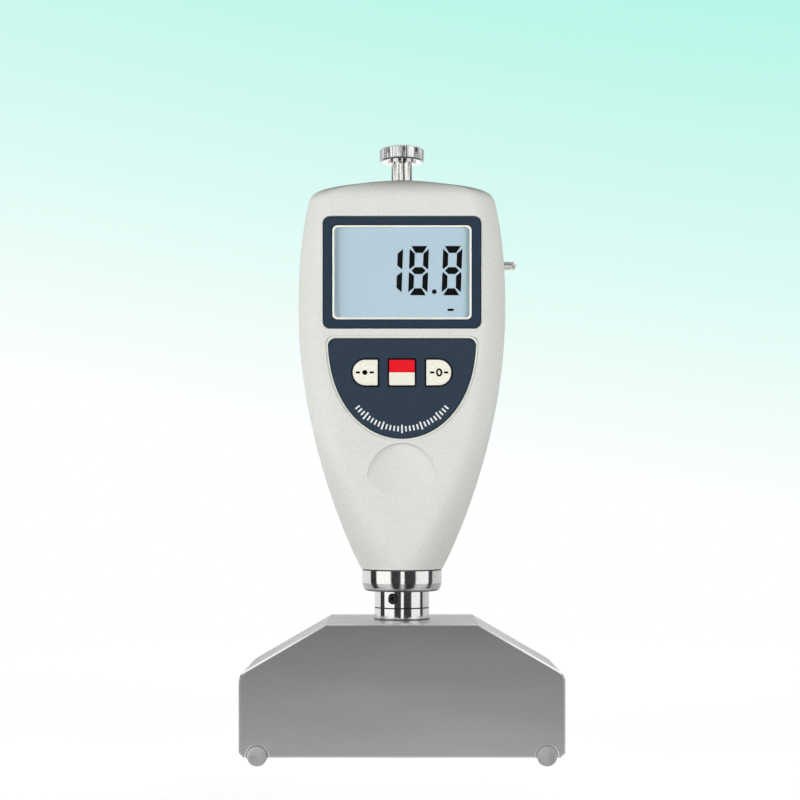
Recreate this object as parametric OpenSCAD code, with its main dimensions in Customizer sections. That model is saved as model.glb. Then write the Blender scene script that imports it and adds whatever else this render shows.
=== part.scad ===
// Hand-held mesh tension meter. Units are millimetres.
// The origin is on the surface that the meter stands on, under the axis of its neck.
// The display faces -Y and +Z is up.

/* [Base block] */
// Length of the block, side to side
block_w = 98; // [92:1:110]
// Thickness of the block, front to back
block_d = 40; // [38:1:44]
// Height of the block above the centres of its rods
block_h = 39.8; // [37:0.2:43]
// Depth of the block below the centres of its rods
block_drop = 0.5; // [0:0.1:0.8]
// Width of the flat top of the block
block_top_w = 45.6; // [42:0.2:50]
// Height of the upright sides of the block, from the rod centres to the slope
block_side_h = 24.6; // [20:0.2:26]
// Radius between slope and upright side
block_corner_r = 4; // [2:0.5:6]
// Bevel along the edges of the block
block_bevel = 0.8; // [0.4:0.1:1.2]
// Diameter of the two ground rods
rod_dia = 6.2; // [5:0.2:7]
// Distance of the rod centres from the ends of the block
rod_inset = 5.5; // [5:0.5:8]

/* [Neck and collar] */
// Diameter of the neck
neck_dia = 17.1; // [16.6:0.1:18.4]
// Height of the lower neck ring, which is screwed into the block
adapter_h = 3.7; // [3:0.1:5]
// Height of the upper neck, from the joint line to the collar
neck_h = 5.2; // [4.8:0.1:7]
// Diameter of the collar
collar_dia = 25; // [24.4:0.1:25.2]
// Height of the collar
collar_h = 6.8; // [6:0.1:8]
// Diameter of the locating spigot inside the neck
spigot_dia = 13; // [12.4:0.1:13.4]
// Diameter of the grub screw that locks the neck
grub_dia = 2.6; // [2.4:0.1:2.8]
// Height of the grub screw above the joint line
grub_up = 3; // [2.4:0.1:3.4]
// Angle of the grub screw from the front, seen from above
grub_angle = 20; // [0:1:40]

/* [Housing] */
// Largest width of the housing
housing_w = 63.4; // [62:0.2:66]
// Depth of the housing, front to back
housing_d = 34; // [34:0.5:38]
// Height of the housing from the collar to the crown
housing_h = 119.1; // [118:0.1:122]
// Diameter of the mouth of the housing at the collar
mouth_dia = 25.2; // [25:0.1:26]
// Height of the widest place above the collar
belly_h = 79.7; // [77:0.1:83]
// Width at the shoulders
shoulder_w = 57.2; // [56:0.2:58.4]
// Height of the shoulders below the crown
shoulder_drop = 7.1; // [6.8:0.1:7.6]
// Radius where the front and the rear turn into the crown
crown_r = 7; // [6:0.5:7]
// Height above the collar where the front becomes flat
flat_from_h = 41; // [37:0.5:41]
// Wall of the housing
wall = 2.2; // [1.8:0.1:2.4]
// Thickness of the floor of the housing, over the collar
floor_t = 3; // [2.6:0.1:3.4]
// Radius of the long edges of the housing
edge_r = 8; // [6:0.5:8.5]
// Width of the thumb dish on the front
dish_dia = 20.8; // [14:0.2:22]
// Depth of the thumb dish
dish_depth = 1; // [0.6:0.1:1.3]

/* [Display] */
// Width of the window frame
bezel_w = 47.6; // [46:0.2:49]
// Height of the window frame
bezel_h = 33.8; // [32:0.2:35]
// Width of the clear window
window_w = 42; // [38:0.2:42.4]
// Height of the clear window
window_h = 28.4; // [26:0.2:28.8]
// Height of the window centre above the collar
window_up = 90; // [89.4:0.1:91]
// Thickness of the window frame
bezel_t = 1; // [0.8:0.1:1.2]
// Thickness of the display glass
lcd_t = 2.6; // [2:0.1:2.8]

/* [Keypad] */
// Width of the keypad label
label_w = 45.8; // [43:0.2:46]
// Height of the keypad label
label_h = 31.4; // [28:0.2:32]
// Height of the label's flat top above the collar
label_top_up = 70.7; // [69.4:0.1:71]
// Thickness of the label
label_t = 0.4; // [0.3:0.05:0.5]
// Width and height of each key
key_size = 8; // [7:0.2:8.4]
// Distance between key centres
key_pitch = 11; // [10.4:0.1:11.6]
// Height of the key centres above the collar
key_up = 59.8; // [59:0.1:61]
// Distance that a key travels
key_travel = 0.4; // [0.3:0.05:0.5]

/* [Stand post and knob] */
// Diameter of the stand post
post_dia = 6.4; // [6:0.1:7]
// Bare length of the post between the crown and the knob
post_free = 7.1; // [5:0.1:8]
// Diameter of the knurled knob
knob_dia = 13.7; // [12:0.1:16]
// Height of the knob
knob_h = 4.1; // [3.6:0.1:6]
// Thickness of the washer under the knob
washer_t = 0.6; // [0.5:0.1:1]
// Number of ridges on the knob
knob_ridges = 44; // [24:2:60]

/* [Strap post] */
// Diameter of the strap post
strap_dia = 2.7; // [2.4:0.1:3]
// Length of the strap post outside the housing
strap_out = 4.8; // [4:0.1:5.4]
// Height of the strap post above the collar
strap_up = 95.2; // [92:0.1:96]

/* [Battery case] */
// Diameter of a battery cell
cell_dia = 10.5; // [10.2:0.1:10.5]
// Length of a battery cell
cell_len = 44.5; // [44:0.1:44.5]
// Space beyond the cells for their springs and contacts
contact_room = 5.5; // [5:0.1:5.6]
// Height of the case floor above the collar
case_up = 57.4; // [56.4:0.1:58]
// Thickness of the battery door
door_t = 2; // [1.6:0.1:2.1]

/* [Measuring mechanism] */
// Diameter of the measuring spindle
spindle_dia = 4; // [3.6:0.1:4.2]
// Diameter of the rounded measuring foot
foot_dia = 6; // [5:0.2:6]
// Length of the measuring foot, front to back
foot_len = 8; // [6:0.2:10]
// Distance that the foot drops when the meter is lifted
foot_drop = 2.5; // [1.5:0.1:3]
// Diameter of the spring chamber
chamber_dia = 10.4; // [10:0.1:11]
// Free height of the spring between its seats
spring_h = 19; // [16:0.5:21]
// Wire diameter of the measuring spring
spring_wire = 0.9; // [0.7:0.1:1]
// Turns of the measuring spring
spring_turns = 7; // [5:1:8]
// Length of the sensing coil
coil_len = 18; // [14:0.5:18]

/* [Clearances] */
// Gap all round a plate that is set in a recess
set_gap = 0.15; // [0.1:0.05:0.2]
// Radial gap of a shaft that runs in a bore
run_gap = 0.03; // [0.02:0.01:0.06]
// Radial gap of a piece that is fixed in a bore
seat_gap = 0.02; // [0.01:0.01:0.04]
// Gap between faces that must not rub
air = 0.1; // [0.05:0.05:0.15]

/* [Hidden] */
$fn = 64;
over = 1;

// Rings along the housing and steps round its long edges
low_rings = 24;
high_rings = 12;
corner_rings = 9;
crown_rings = 4;
edge_steps = 9;

// Levels, from the floor up
rod_z = rod_dia / 2;
block_low = rod_z - block_drop;
block_top = rod_z + block_h;
joint_z = block_top + adapter_h;
collar_z = joint_z + neck_h;
base_z = collar_z + collar_h;
crown_z = base_z + housing_h;
belly_z = base_z + belly_h;
shoulder_z = crown_z - shoulder_drop;
flat_z = base_z + flat_from_h;
floor_z = base_z + floor_t;
window_z = base_z + window_up;
label_z = base_z + label_top_up;
key_z = base_z + key_up;
strap_z = base_z + strap_up;
case_z = base_z + case_up;

// Depths, from the front back
front_y = -housing_d / 2;
rear_y = housing_d / 2;
inner_y = front_y + wall;
bezel_sink = bezel_t - 0.2;
label_sink = label_t + 0.1;
lcd_y = front_y + bezel_sink + air;
frame_y = inner_y + 0.3;
frame_t = 5.4;
board_y = frame_y + frame_t;
board_t = 1.6;
board_back = board_y + board_t;

// Corner curves of the housing outline: half widths and heights
crown_flat = 10;
crown_w = 33;
crown_fall = 1.5;
flank_pull = [5.9, 11.1];
belly_pull = 35;
chest_pull = 14;
shoulder_pull = [8, 3.2];
shoulder_lean = 0.24;
corner_pull = [1.9, 2.9];

LOW = [
    [mouth_dia / 2, base_z],
    [mouth_dia / 2 + flank_pull.x, base_z + flank_pull.y],
    [housing_w / 2, belly_z - belly_pull],
    [housing_w / 2, belly_z]
];
HIGH = [
    [housing_w / 2, belly_z],
    [housing_w / 2, belly_z + chest_pull],
    [shoulder_w / 2 + shoulder_pull[0] * shoulder_lean, shoulder_z - shoulder_pull[0]],
    [shoulder_w / 2, shoulder_z]
];
CORNER = [
    [shoulder_w / 2, shoulder_z],
    [shoulder_w / 2 - shoulder_pull[1] * shoulder_lean, shoulder_z + shoulder_pull[1]],
    [shoulder_w / 2 - corner_pull.x, crown_z - corner_pull.y],
    [crown_w / 2, crown_z - crown_fall]
];

// Shared shapes

// Point at t on a curve with two end points and two pulls
function curve(p, t) =
    pow(1 - t, 3) * p[0] + 3 * pow(1 - t, 2) * t * p[1] + 3 * (1 - t) * t * t * p[2] + pow(t, 3) * p[3];

// Half widths and heights of the housing from its mouth to its crown
function outline() = concat(
    [for (i = [0:low_rings - 1]) curve(LOW, i / low_rings)],
    [for (i = [0:high_rings - 1]) curve(HIGH, i / high_rings)],
    [for (i = [0:corner_rings - 1]) curve(CORNER, i / corner_rings)],
    [for (i = [0:crown_rings]) crown_point(crown_w / 2 - (crown_w - crown_flat) / 2 * i / crown_rings)]
);

// Point of the arched crown at half width x
function crown_point(x) = [x, crown_z - crown_fall * pow(2 * x / crown_w, 2)];

// Half width of the housing at a height
function half_width(z) = lookup(z, [for (p = outline()) [p.y, p.x]]);

// How far down the taper a height lies: 0 on the flat front, 1 at the mouth
function taper(z) = max(0, (flat_z - z) / (flat_z - base_z));

// Half depth at a height, on the surface that lies t inside the housing's skin
function half_depth(z, t = 0) =
    let (up = z - crown_z + crown_r)
    up > 0
        ? housing_d / 2 - crown_r + sqrt(max(0, pow(crown_r - t, 2) - up * up))
        : housing_d / 2 - t - (housing_d - mouth_dia) / 2 * pow(taper(z), 2);

// Radius of the long edges at a height
function plan_radius(z, t = 0) = edge_r - t + (mouth_dia / 2 - edge_r) * taper(z);

// Outline moved inward along its normals, with the depth and the edge radius at each point
function inset_outline(pts, t) = [
    for (i = [0:len(pts) - 1])
        let (
            a = pts[max(0, i - 1)],
            b = pts[min(len(pts) - 1, i + 1)],
            d = (b - a) / norm(b - a),
            z = pts[i].y + t * d.x
        )
        [pts[i].x - t * d.y, z, half_depth(z, t), plan_radius(z, t)]
];

// Closed ring through the front half of the housing: half width w, half depth d, edge radius r
function half_ring(w, d, r, z, back, steps) =
    let (e = min(r, w - 0.3, d - 0.3))
    concat(
        [[w, back, z]],
        [for (i = [0:steps]) let (a = 90 * i / steps) [w - e + e * cos(a), -(d - e + e * sin(a)), z]],
        [for (i = [0:steps]) let (a = 90 * i / steps) [-(w - e + e * sin(a)), -(d - e + e * cos(a)), z]],
        [[-w, back, z]]
    );

// Solid through a stack of rings that have equally many points
module stack(rings) {
    n = len(rings[0]);
    m = len(rings);
    points = [for (ring = rings) for (p = ring) p];
    sides = [
        for (j = [0:m - 2]) for (i = [0:n - 1])
            let (k = (i + 1) % n)
            each [
                [j * n + i, j * n + k, (j + 1) * n + k],
                [j * n + i, (j + 1) * n + k, (j + 1) * n + i]
            ]
    ];
    first = [[for (i = [n - 1:-1:0]) i]];
    last = [[for (i = [0:n - 1]) (m - 1) * n + i]];
    polyhedron(points, concat(first, [for (s = sides) [s[0], s[1], s[2]]], last));
}

// Front half of the housing as a solid
module half_body(steps = edge_steps) {
    pts = inset_outline(outline(), 0);
    stack([for (p = pts) half_ring(p[0], p[2], p[3], p[1], 0, steps)]);
}

// Room inside the front half, past the parting plane
module half_room(t, steps = 5) {
    pts = inset_outline(outline(), t);
    widths = [for (p = pts) [p[1], p[0]]];
    keep = [for (p = pts) if (p[1] > floor_z + 1) p];
    start = [lookup(floor_z, widths), floor_z, half_depth(floor_z, t), plan_radius(floor_z, t)];
    stack([for (p = concat([start], keep)) half_ring(p[0], p[2], p[3], p[1], over, steps)]);
}

// Outline of the whole housing, seen from the front and moved inward by t
module outline_shape(t) {
    right = inset_outline(outline(), t);
    polygon(concat(
        [for (p = right) [p[0], p[1]]],
        [for (i = [len(right) - 1:-1:0]) [-right[i][0], right[i][1]]]
    ));
}

// Band along the side walls between two insets of the outline, open at the neck and the post
module wall_band(t0, t1, y0, y1) {
    plate(y0, y1)
        difference() {
            outline_shape(t0);
            outline_shape(t1);
            translate([-housing_w, floor_z + 2 - housing_h])
                square([2 * housing_w, housing_h]);
            translate([-key_half - 2, crown_z - 4 * wall])
                square([2 * key_half + 4, 5 * wall]);
        }
}

// Plate standing in the XZ plane, from y0 to y1
module plate(y0, y1) {
    translate([0, y1, 0])
        rotate([90, 0, 0])
            linear_extrude(y1 - y0)
                children();
}

// Round rod along Y, from y0 to y1
module rod_y(r, y0, y1) {
    translate([0, y1, 0])
        rotate([90, 0, 0])
            cylinder(r = r, h = y1 - y0);
}

// Round rod along X, from x0 to x1
module rod_x(r, x0, x1) {
    translate([x0, 0, 0])
        rotate([0, 90, 0])
            cylinder(r = r, h = x1 - x0);
}

// Rectangle with round corners
module round_rect(w, h, r) {
    union() {
        square([w - 2 * r, h], center = true);
        square([w, h - 2 * r], center = true);
        for (x = [-1, 1], z = [-1, 1])
            translate([x * (w / 2 - r), z * (h / 2 - r)])
                circle(r);
    }
}

// Box by its low and high corners
module block_between(a, b) {
    translate(a)
        cube(b - a);
}

// Outline of the keypad label, grown by g: a shield with a full top
label_fall = 2.5;
label_spread = 1.6;
label_corner = 2.4;
module label_shape(g = 0) {
    a = label_w / 2 + g;
    b = label_h + g;
    side = [
        for (i = [0:20])
            let (u = sin(90 * i / 20))
            [a * pow(1 - pow(u, label_fall), 1 / label_spread), -b * u]
    ];
    corner = [
        for (i = [0:5])
            let (t = 90 - 90 * i / 5)
            [a - label_corner + label_corner * cos(t), g - label_corner * (1 - sin(t))]
    ];
    right = concat(corner, [for (p = side) if (p.y < -label_corner - 0.5) p]);
    left = [for (i = [len(right) - 1:-1:0]) if (right[i].x > 0.01) [-right[i].x, right[i].y]];
    polygon(concat(right, left));
}

// Outline of an outer key, round on its left and flat on its right
flat_cut = 0.2;
module d_shape(size) {
    r = size / 2;
    intersection() {
        union() {
            circle(r);
            translate([0, -r])
                square([r, size]);
        }
        translate([-r, -r])
            square([size - flat_cut, size]);
    }
}

// Outline of each key by its place: -1 left, 0 middle, 1 right
module key_shape(side, size) {
    if (side == 0)
        square(size, center = true);
    else
        on_side(side)
            d_shape(size);
}

module on_side(side) {
    mirror([side > 0 ? 1 : 0, 0, 0])
        children();
}

// Places of the four housing screws and of the four board posts, as x and z
top_screw_out = 21.5;
top_screw_drop = 7.3;
low_screw_out = 14.5;
low_screw_up = 29.4;
shell_screws = [
    for (s = [-1, 1])
        each [[s * top_screw_out, crown_z - top_screw_drop], [s * low_screw_out, base_z + low_screw_up]]
];
board_up = 41.6;
board_over = 5.2;
top_post_out = 12;
top_post_in = 2.3;
low_post_out = 18;
low_post_in = 3.8;
board_low = base_z + board_up;
board_high = window_z + bezel_h / 2 + board_over;
board_posts = [
    for (s = [-1, 1])
        each [[s * top_post_out, board_high - top_post_in], [s * low_post_out, board_low + low_post_in]]
];
screw_r = 1.4;
screw_len = 20;
head_r = 2.4;
head_y = 11;
boss_r = 3.6;
post_r = 2.2;
root_y = inner_y - wall / 4;
board_screw_r = 0.9;
board_screw_in = 4;

// Lip of the rear half, which enters a rebate in the front half
lip_h = 1.4;

// Housing

module front_shell() {
    color("#d9d9d2")
    difference() {
        union() {
            difference() {
                half_body();
                half_room(wall);
            }
            for (p = shell_screws)
                translate([p.x, 0, p.y])
                    rod_y(boss_r - 0.4, root_y, -air);
            for (p = board_posts)
                translate([p.x, 0, p.y])
                    rod_y(post_r, root_y, board_y);
        }
        for (p = shell_screws)
            translate([p.x, 0, p.y])
                rod_y(screw_r + seat_gap, head_y - screw_len - over, over);
        for (p = board_posts)
            translate([p.x, 0, p.y])
                rod_y(board_screw_r + seat_gap, board_y - board_screw_in - 0.2, board_y + over);
        wall_band(wall / 2, wall + 0.5, -lip_h - air, over);
        translate([0, 0, window_z])
            plate(front_y - over, front_y + bezel_sink)
                round_rect(bezel_w + 2 * set_gap, bezel_h + 2 * set_gap, bezel_corner + set_gap);
        translate([0, 0, window_z])
            plate(front_y - over, inner_y + over)
                round_rect(lcd_w + 2 * key_gap, lcd_h + 2 * key_gap, 0.4);
        translate([0, 0, label_z])
            plate(front_y - over, front_y + label_sink)
                label_shape(set_gap);
        for (s = [-1, 0, 1])
            translate([s * key_pitch, 0, key_z])
                plate(front_y - over, inner_y + over)
                    key_shape(s, key_size + 2 * key_gap);
        thumb_dish();
        mouth_and_post_holes();
    }
}
bezel_corner = 2.1;
key_gap = 0.2;

// Round dish for the thumb, cut square to the sloping front
dish_up = 27.9;
module thumb_dish() {
    z = base_z + dish_up;
    lean = atan((housing_d - mouth_dia) * taper(z) / (flat_z - base_z));
    r = (pow(dish_dia / 2, 2) + pow(dish_depth, 2)) / (2 * dish_depth);
    translate([0, -half_depth(z), z])
        rotate([-lean, 0, 0])
            translate([0, dish_depth - r, 0])
                sphere(r);
}

// Holes that both halves share: barrel through the floor, post and its key through the crown
module mouth_and_post_holes() {
    translate([0, 0, base_z - over])
        cylinder(r = neck_dia / 2 + set_gap, h = floor_t + 2 * over);
    translate([0, 0, crown_z - wall - over])
        cylinder(r = post_dia / 2 + set_gap, h = wall + 2 * over);
}

case_w = 4 * (cell_dia + 0.3) + 0.4;
case_wall = 1.5;
case_h = cell_len + contact_room;
case_floor_y = rear_y - door_t - 0.2 - cell_dia - 0.1;
door_w = case_w + 2;
door_h = case_h + 2;
door_y = rear_y - door_t;
door_mid = case_z + case_h / 2;
door_low = case_z - 1;
foot_wall = 2.4;
notch_r = 5;

// Hinge of the door: its round foot turns on two trunnions
hinge_r = door_t - 0.4;
hinge_y = rear_y - hinge_r - 0.05;
hinge_z = door_low + hinge_r;
lug_w = 2.6;
trunnion_r = 0.9;
trunnion_out = 1.2;
module at_hinge() {
    translate([0, hinge_y, hinge_z])
        children();
}

module rear_shell() {
    color("#d2d2cb")
    difference() {
        union() {
            mirror([0, 1, 0])
                difference() {
                    half_body();
                    half_room(wall);
                }
            block_between(
                [-case_w / 2 - case_wall, case_floor_y - case_wall, case_z - foot_wall],
                [case_w / 2 + case_wall, rear_y - wall / 2, case_z + case_h + case_wall]
            );
            for (p = shell_screws)
                translate([p.x, 0, p.y])
                    rod_y(boss_r, 0, rear_y - wall);
            for (s = [0, 1])
                mirror([s, 0, 0])
                    block_between(
                        [case_w / 2, hinge_y - 2.4, case_z - foot_wall],
                        [door_w / 2 + trunnion_out + 0.9, rear_y - wall / 2, hinge_z + 2.4]
                    );
            wall_band(wall / 2 + air, wall - air, -lip_h, over);
        }
        block_between(
            [-case_w / 2, case_floor_y, case_z],
            [case_w / 2, rear_y + over, case_z + case_h]
        );
        translate([0, 0, door_mid])
            plate(door_y, rear_y + over)
                square([door_w + 2 * set_gap, door_h + 2 * set_gap], center = true);
        translate([0, 0, door_mid + door_h / 2])
            plate(rear_y - 1, rear_y + over)
                circle(notch_r);
        at_hinge() {
            leaf_x = door_w / 2 + set_gap;
            pin_x = door_w / 2 + trunnion_out + air;
            rod_x(hinge_r + air, -leaf_x, leaf_x);
            rod_x(trunnion_r + run_gap, -pin_x, pin_x);
        }
        for (p = shell_screws)
            translate([p.x, 0, p.y]) {
                rod_y(screw_r + 0.15, -over, rear_y);
                rod_y(head_r + 0.2, head_y, rear_y + over);
            }
        translate([0, strap_y, strap_z])
            rotate([0, 90, 0])
                cylinder(r = strap_dia / 2 - root_cut + seat_gap, h = housing_w);
        mouth_and_post_holes();
    }
}

// Battery door: leaf with a round foot on two trunnions, a tongue and finger ribs at its head
module battery_door() {
    rib_pitch = 2;
    rib_w = 16;
    tongue_w = 10;
    tongue_t = 0.7;
    tongue_in = 2.6;
    tongue_z = case_z + case_h - plate_t - air;
    color("#cfcfc8")
    union() {
        block_between([-door_w / 2, door_y, hinge_z], [door_w / 2, rear_y, door_low + door_h]);
        difference() {
            at_hinge()
                rod_x(hinge_r, -door_w / 2, door_w / 2);
            block_between(
                [-door_w / 2 + lug_w, door_y - door_t, door_low - over],
                [door_w / 2 - lug_w, door_y, hinge_z + door_t]
            );
        }
        for (s = [0, 1])
            mirror([s, 0, 0])
                at_hinge()
                    rod_x(trunnion_r, door_w / 2 - lug_w / 2, door_w / 2 + trunnion_out);
        block_between(
            [-tongue_w / 2, door_y - tongue_in, tongue_z - tongue_t],
            [tongue_w / 2, door_y + door_t / 2, tongue_z]
        );
        for (i = [0:4])
            translate([0, 0, door_low + door_h - 7.5 - rib_pitch * i])
                block_between([-rib_w / 2, rear_y - 0.5, -0.5], [rib_w / 2, rear_y + 0.5, 0.5]);
    }
}

// Four pan-head screws, driven in from the rear
module housing_screws() {
    color("#8a8d90")
    for (p = shell_screws)
        translate([p.x, 0, p.y])
            difference() {
                union() {
                    rod_y(screw_r, head_y - screw_len, head_y + 0.2);
                    rod_y(head_r, head_y, head_y + 1.8);
                }
                for (a = [0, 90])
                    rotate([0, a, 0])
                        block_between([-1.6, head_y + 0.9, -0.3], [1.6, head_y + 2, 0.3]);
            }
}

// Display

module display_bezel() {
    color("#333e4e")
    translate([0, 0, window_z])
        plate(front_y + bezel_sink - bezel_t, front_y + bezel_sink)
            difference() {
                round_rect(bezel_w, bezel_h, bezel_corner);
                round_rect(window_w, window_h, 1.5);
            }
}

module display_lens() {
    color("#cfe0ee", 0.4)
    translate([0, 0, window_z])
        plate(front_y + bezel_sink - bezel_t + 0.1, front_y + bezel_sink)
            round_rect(window_w - 2 * seat_gap, window_h - 2 * seat_gap, 1.5);
}

// Glass that stands in the opening of the front shell, close behind the window
lcd_w = window_w + 1.4;
lcd_h = window_h + 1.4;
module lcd_panel() {
    color("#b8cddc")
    translate([0, 0, window_z])
        plate(lcd_y, lcd_y + lcd_t)
            square([lcd_w, lcd_h], center = true);
}

// White carrier that holds the glass from behind and stands on the board
module lcd_frame() {
    rim = 1;
    seat = 1;
    color("#eef0f0")
    translate([0, 0, window_z])
        difference() {
            plate(frame_y, board_y)
                square([lcd_w + 2 * rim, lcd_h + 2 * rim], center = true);
            plate(frame_y - over, lcd_y + lcd_t)
                square([lcd_w + 2 * seat_gap, lcd_h + 2 * seat_gap], center = true);
            plate(lcd_y + lcd_t + seat, board_y + over)
                square([lcd_w - 2 * rim, lcd_h - 2 * rim], center = true);
        }
}

// Keypad

module keypad_label() {
    color("#333e4e")
    translate([0, 0, label_z])
        plate(front_y + label_sink - label_t, front_y + label_sink)
            difference() {
                label_shape(0);
                for (s = [-1, 0, 1])
                    translate([s * key_pitch, key_z - label_z])
                        key_shape(s, key_size + 2 * key_gap);
            }
}

key_proud = 0.4;
flange_t = 0.8;
switch_t = 2.2;
switch_y = board_y - switch_t;
module key(side, tint) {
    cap_y = front_y + label_sink - label_t - key_proud + 0.1;
    color(tint)
    translate([side * key_pitch, 0, key_z])
        union() {
            plate(cap_y, inner_y + air + flange_t / 2)
                key_shape(side, key_size);
            plate(inner_y + air, inner_y + air + flange_t)
                square(key_size + 1.6, center = true);
            rod_y(1.5, inner_y + air + flange_t / 2, switch_y - key_travel - 0.05);
        }
}

module left_key() {
    key(-1, "#eee8dc");
}

module middle_key() {
    key(0, "#e6202c");
}

module right_key() {
    key(1, "#eee8dc");
}

// Electronics

board_w = 47;
tab_w = 32;
tab_h = 4;
module circuit_board() {
    shoulder = board_high - tab_h;
    color("#1f6b3a")
    difference() {
        plate(board_y, board_back)
            union() {
                translate([-board_w / 2, board_low])
                    square([board_w, shoulder - board_low]);
                translate([-tab_w / 2, shoulder - 1])
                    square([tab_w, tab_h + 1]);
            }
        for (p = board_posts)
            translate([p.x, 0, p.y])
                rod_y(board_screw_r + 0.2, board_y - over, board_back + over);
    }
}

module board_screws() {
    color("#b8bcc0")
    for (p = board_posts)
        translate([p.x, 0, p.y])
            difference() {
                union() {
                    rod_y(board_screw_r, board_y - board_screw_in, board_back + 0.2);
                    rod_y(board_screw_r + 1, board_back, board_back + 1.1);
                }
                for (a = [0, 90])
                    rotate([0, a, 0])
                        block_between([-1.2, board_back + 0.6, -0.2], [1.2, board_back + 1.2, 0.2]);
            }
}

// Three push switches under the keys
module key_switches() {
    color("#3a3a3c")
    for (s = [-1, 0, 1])
        translate([s * key_pitch, 0, key_z]) {
            plate(board_y - switch_t + 0.6, board_y)
                square(6, center = true);
            rod_y(1.7, switch_y, board_y - switch_t + 0.7);
        }
}

// Processor and amplifier on the back of the board
module board_chips() {
    chip = 10;
    small_chip = 5;
    chip_out = 14;
    chip_drop = 2;
    small_chip_drop = 12;
    chip_t = 1.5;
    color("#26272a")
    for (c = [
        [0, chip_drop, chip],
        [-chip_out, small_chip_drop, small_chip],
        [chip_out, small_chip_drop, small_chip]
    ])
        translate([c[0], 0, window_z - c[1]])
            plate(board_back, board_back + chip_t)
                square(c[2], center = true);
}

cell_y = door_y - 0.2 - cell_dia / 2;
cell_pitch = cell_dia + 0.3;
plate_t = 0.3;
nub_h = 0.9;
module cell_places() {
    for (i = [0:3])
        translate([(i - 1.5) * cell_pitch, cell_y, door_mid])
            rotate([i % 2 == 0 ? 0 : 180, 0, 0])
                children();
}

// Height of the cell's flat end from the middle of the case
cell_top = case_h / 2 - plate_t - nub_h;
cell_base = cell_top + nub_h - cell_len;
module battery_cells() {
    color("#3c4a6a")
    cell_places()
        union() {
            translate([0, 0, cell_base])
                cylinder(r = cell_dia / 2, h = cell_top - cell_base);
            translate([0, 0, cell_top - 0.2])
                cylinder(r = 1.9, h = nub_h + 0.2);
        }
}

contact_r = 3.4;
module battery_contacts() {
    color("#c9ccd0")
    cell_places()
        for (z = [-case_h / 2, case_h / 2 - plate_t])
            translate([-contact_r, -contact_r, z])
                cube([2 * contact_r, 2 * contact_r - 1, plate_t]);
}

// Wire wound upward from z0 to z1, thin enough to lie flat at both ends
module coil(radius, wire, turns, z0, z1, per_turn, sides) {
    n = turns * per_turn;
    rise = (z1 - z0 - wire) / n;
    stack([
        for (i = [0:n])
            let (a = 360 * i / per_turn, z = z0 + wire / 2 + rise * i)
            [
                for (k = [0:sides - 1])
                    let (b = 360 * k / sides, r = radius + wire / 2 * cos(b))
                    [r * cos(a), r * sin(a), z + wire / 2 * sin(b)]
            ]
    ]);
}

module battery_springs() {
    color("#c9ccd0")
    cell_places()
        coil(2.6, 0.6, 3, -case_h / 2 + plate_t, cell_base, 12, 5);
}

// Round wire through given points
module wire(path, r, sides = 6) {
    n = len(path);
    stack([
        for (i = [0:n - 1])
            let (
                d = path[min(n - 1, i + 1)] - path[max(0, i - 1)],
                u = d / norm(d),
                s = cross(u, [1, 0.2, 0.1]),
                a = s / norm(s),
                b = cross(u, a)
            )
            [for (k = [0:sides - 1]) let (t = 360 * k / sides) path[i] + r * (a * cos(t) + b * sin(t))]
    ]);
}

// Lead from the battery case to the back of the board
lead_out = 19;
module battery_lead() {
    x = lead_out;
    z = case_z - foot_wall - 3;
    color("#a83232")
    wire([
        [x, case_floor_y + 3, case_z - foot_wall],
        [x, case_floor_y + 3, z + 1.6],
        [x, case_floor_y + 2, z + 0.4],
        [x, case_floor_y, z],
        [x, -3, z],
        [x, board_back, z]
    ], 0.6);
}

// Strap post: pin with a thin root, a groove and a domed end, held by its flange inside the wall
strap_y = 5;
strap_x = half_width(strap_z - strap_dia / 2) - 0.1;
root_cut = 0.3;
module strap_post() {
    r = strap_dia / 2;
    root = r - root_cut;
    inside = wall + 1.6;
    flange_r = r + 1.2;
    flange_t = 1;
    neck = r - 0.3;
    groove = strap_out - 1.5;
    groove_w = 0.4;
    dome = 0.9;
    color("#c4c6c8")
    translate([strap_x, strap_y, strap_z])
        rotate([0, 90, 0])
            rotate_extrude()
                polygon(concat(
                    [[0, -inside], [flange_r, -inside]],
                    [[flange_r, flange_t - inside], [root, flange_t - inside]],
                    [[root, root_cut], [r, root_cut]],
                    [[r, groove], [neck, groove], [neck, groove + groove_w], [r, groove + groove_w]],
                    [for (i = [0:6]) [r * cos(15 * i), strap_out - dome + dome * sin(15 * i)]]
                ));
}

// Stand post: stud with a square flange that the two halves hold
key_half = 4.4;
flange_drop = 0.5;
post_flange_t = 1.8;
post_low = crown_z - wall - 3;
post_top = crown_z + post_free + washer_t + knob_h - 1.2;
module stand_post() {
    r = post_dia / 2;
    edge = 0.5;
    top = crown_z - wall - flange_drop;
    color("#c8cacc")
    union() {
        rotate_extrude()
            polygon([
                [0, post_low], [r, post_low], [r, post_top - edge],
                [r - edge, post_top], [0, post_top]
            ]);
        block_between([-key_half, -key_half, top - post_flange_t], [key_half, key_half, top]);
    }
}

washer_z = crown_z + post_free;
module clamp_washer() {
    color("#b4b6b8")
    translate([0, 0, washer_z])
        difference() {
            cylinder(r = post_dia / 2 + 1.2, h = washer_t);
            translate([0, 0, -over])
                cylinder(r = post_dia / 2 + run_gap, h = washer_t + 2 * over);
        }
}

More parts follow.
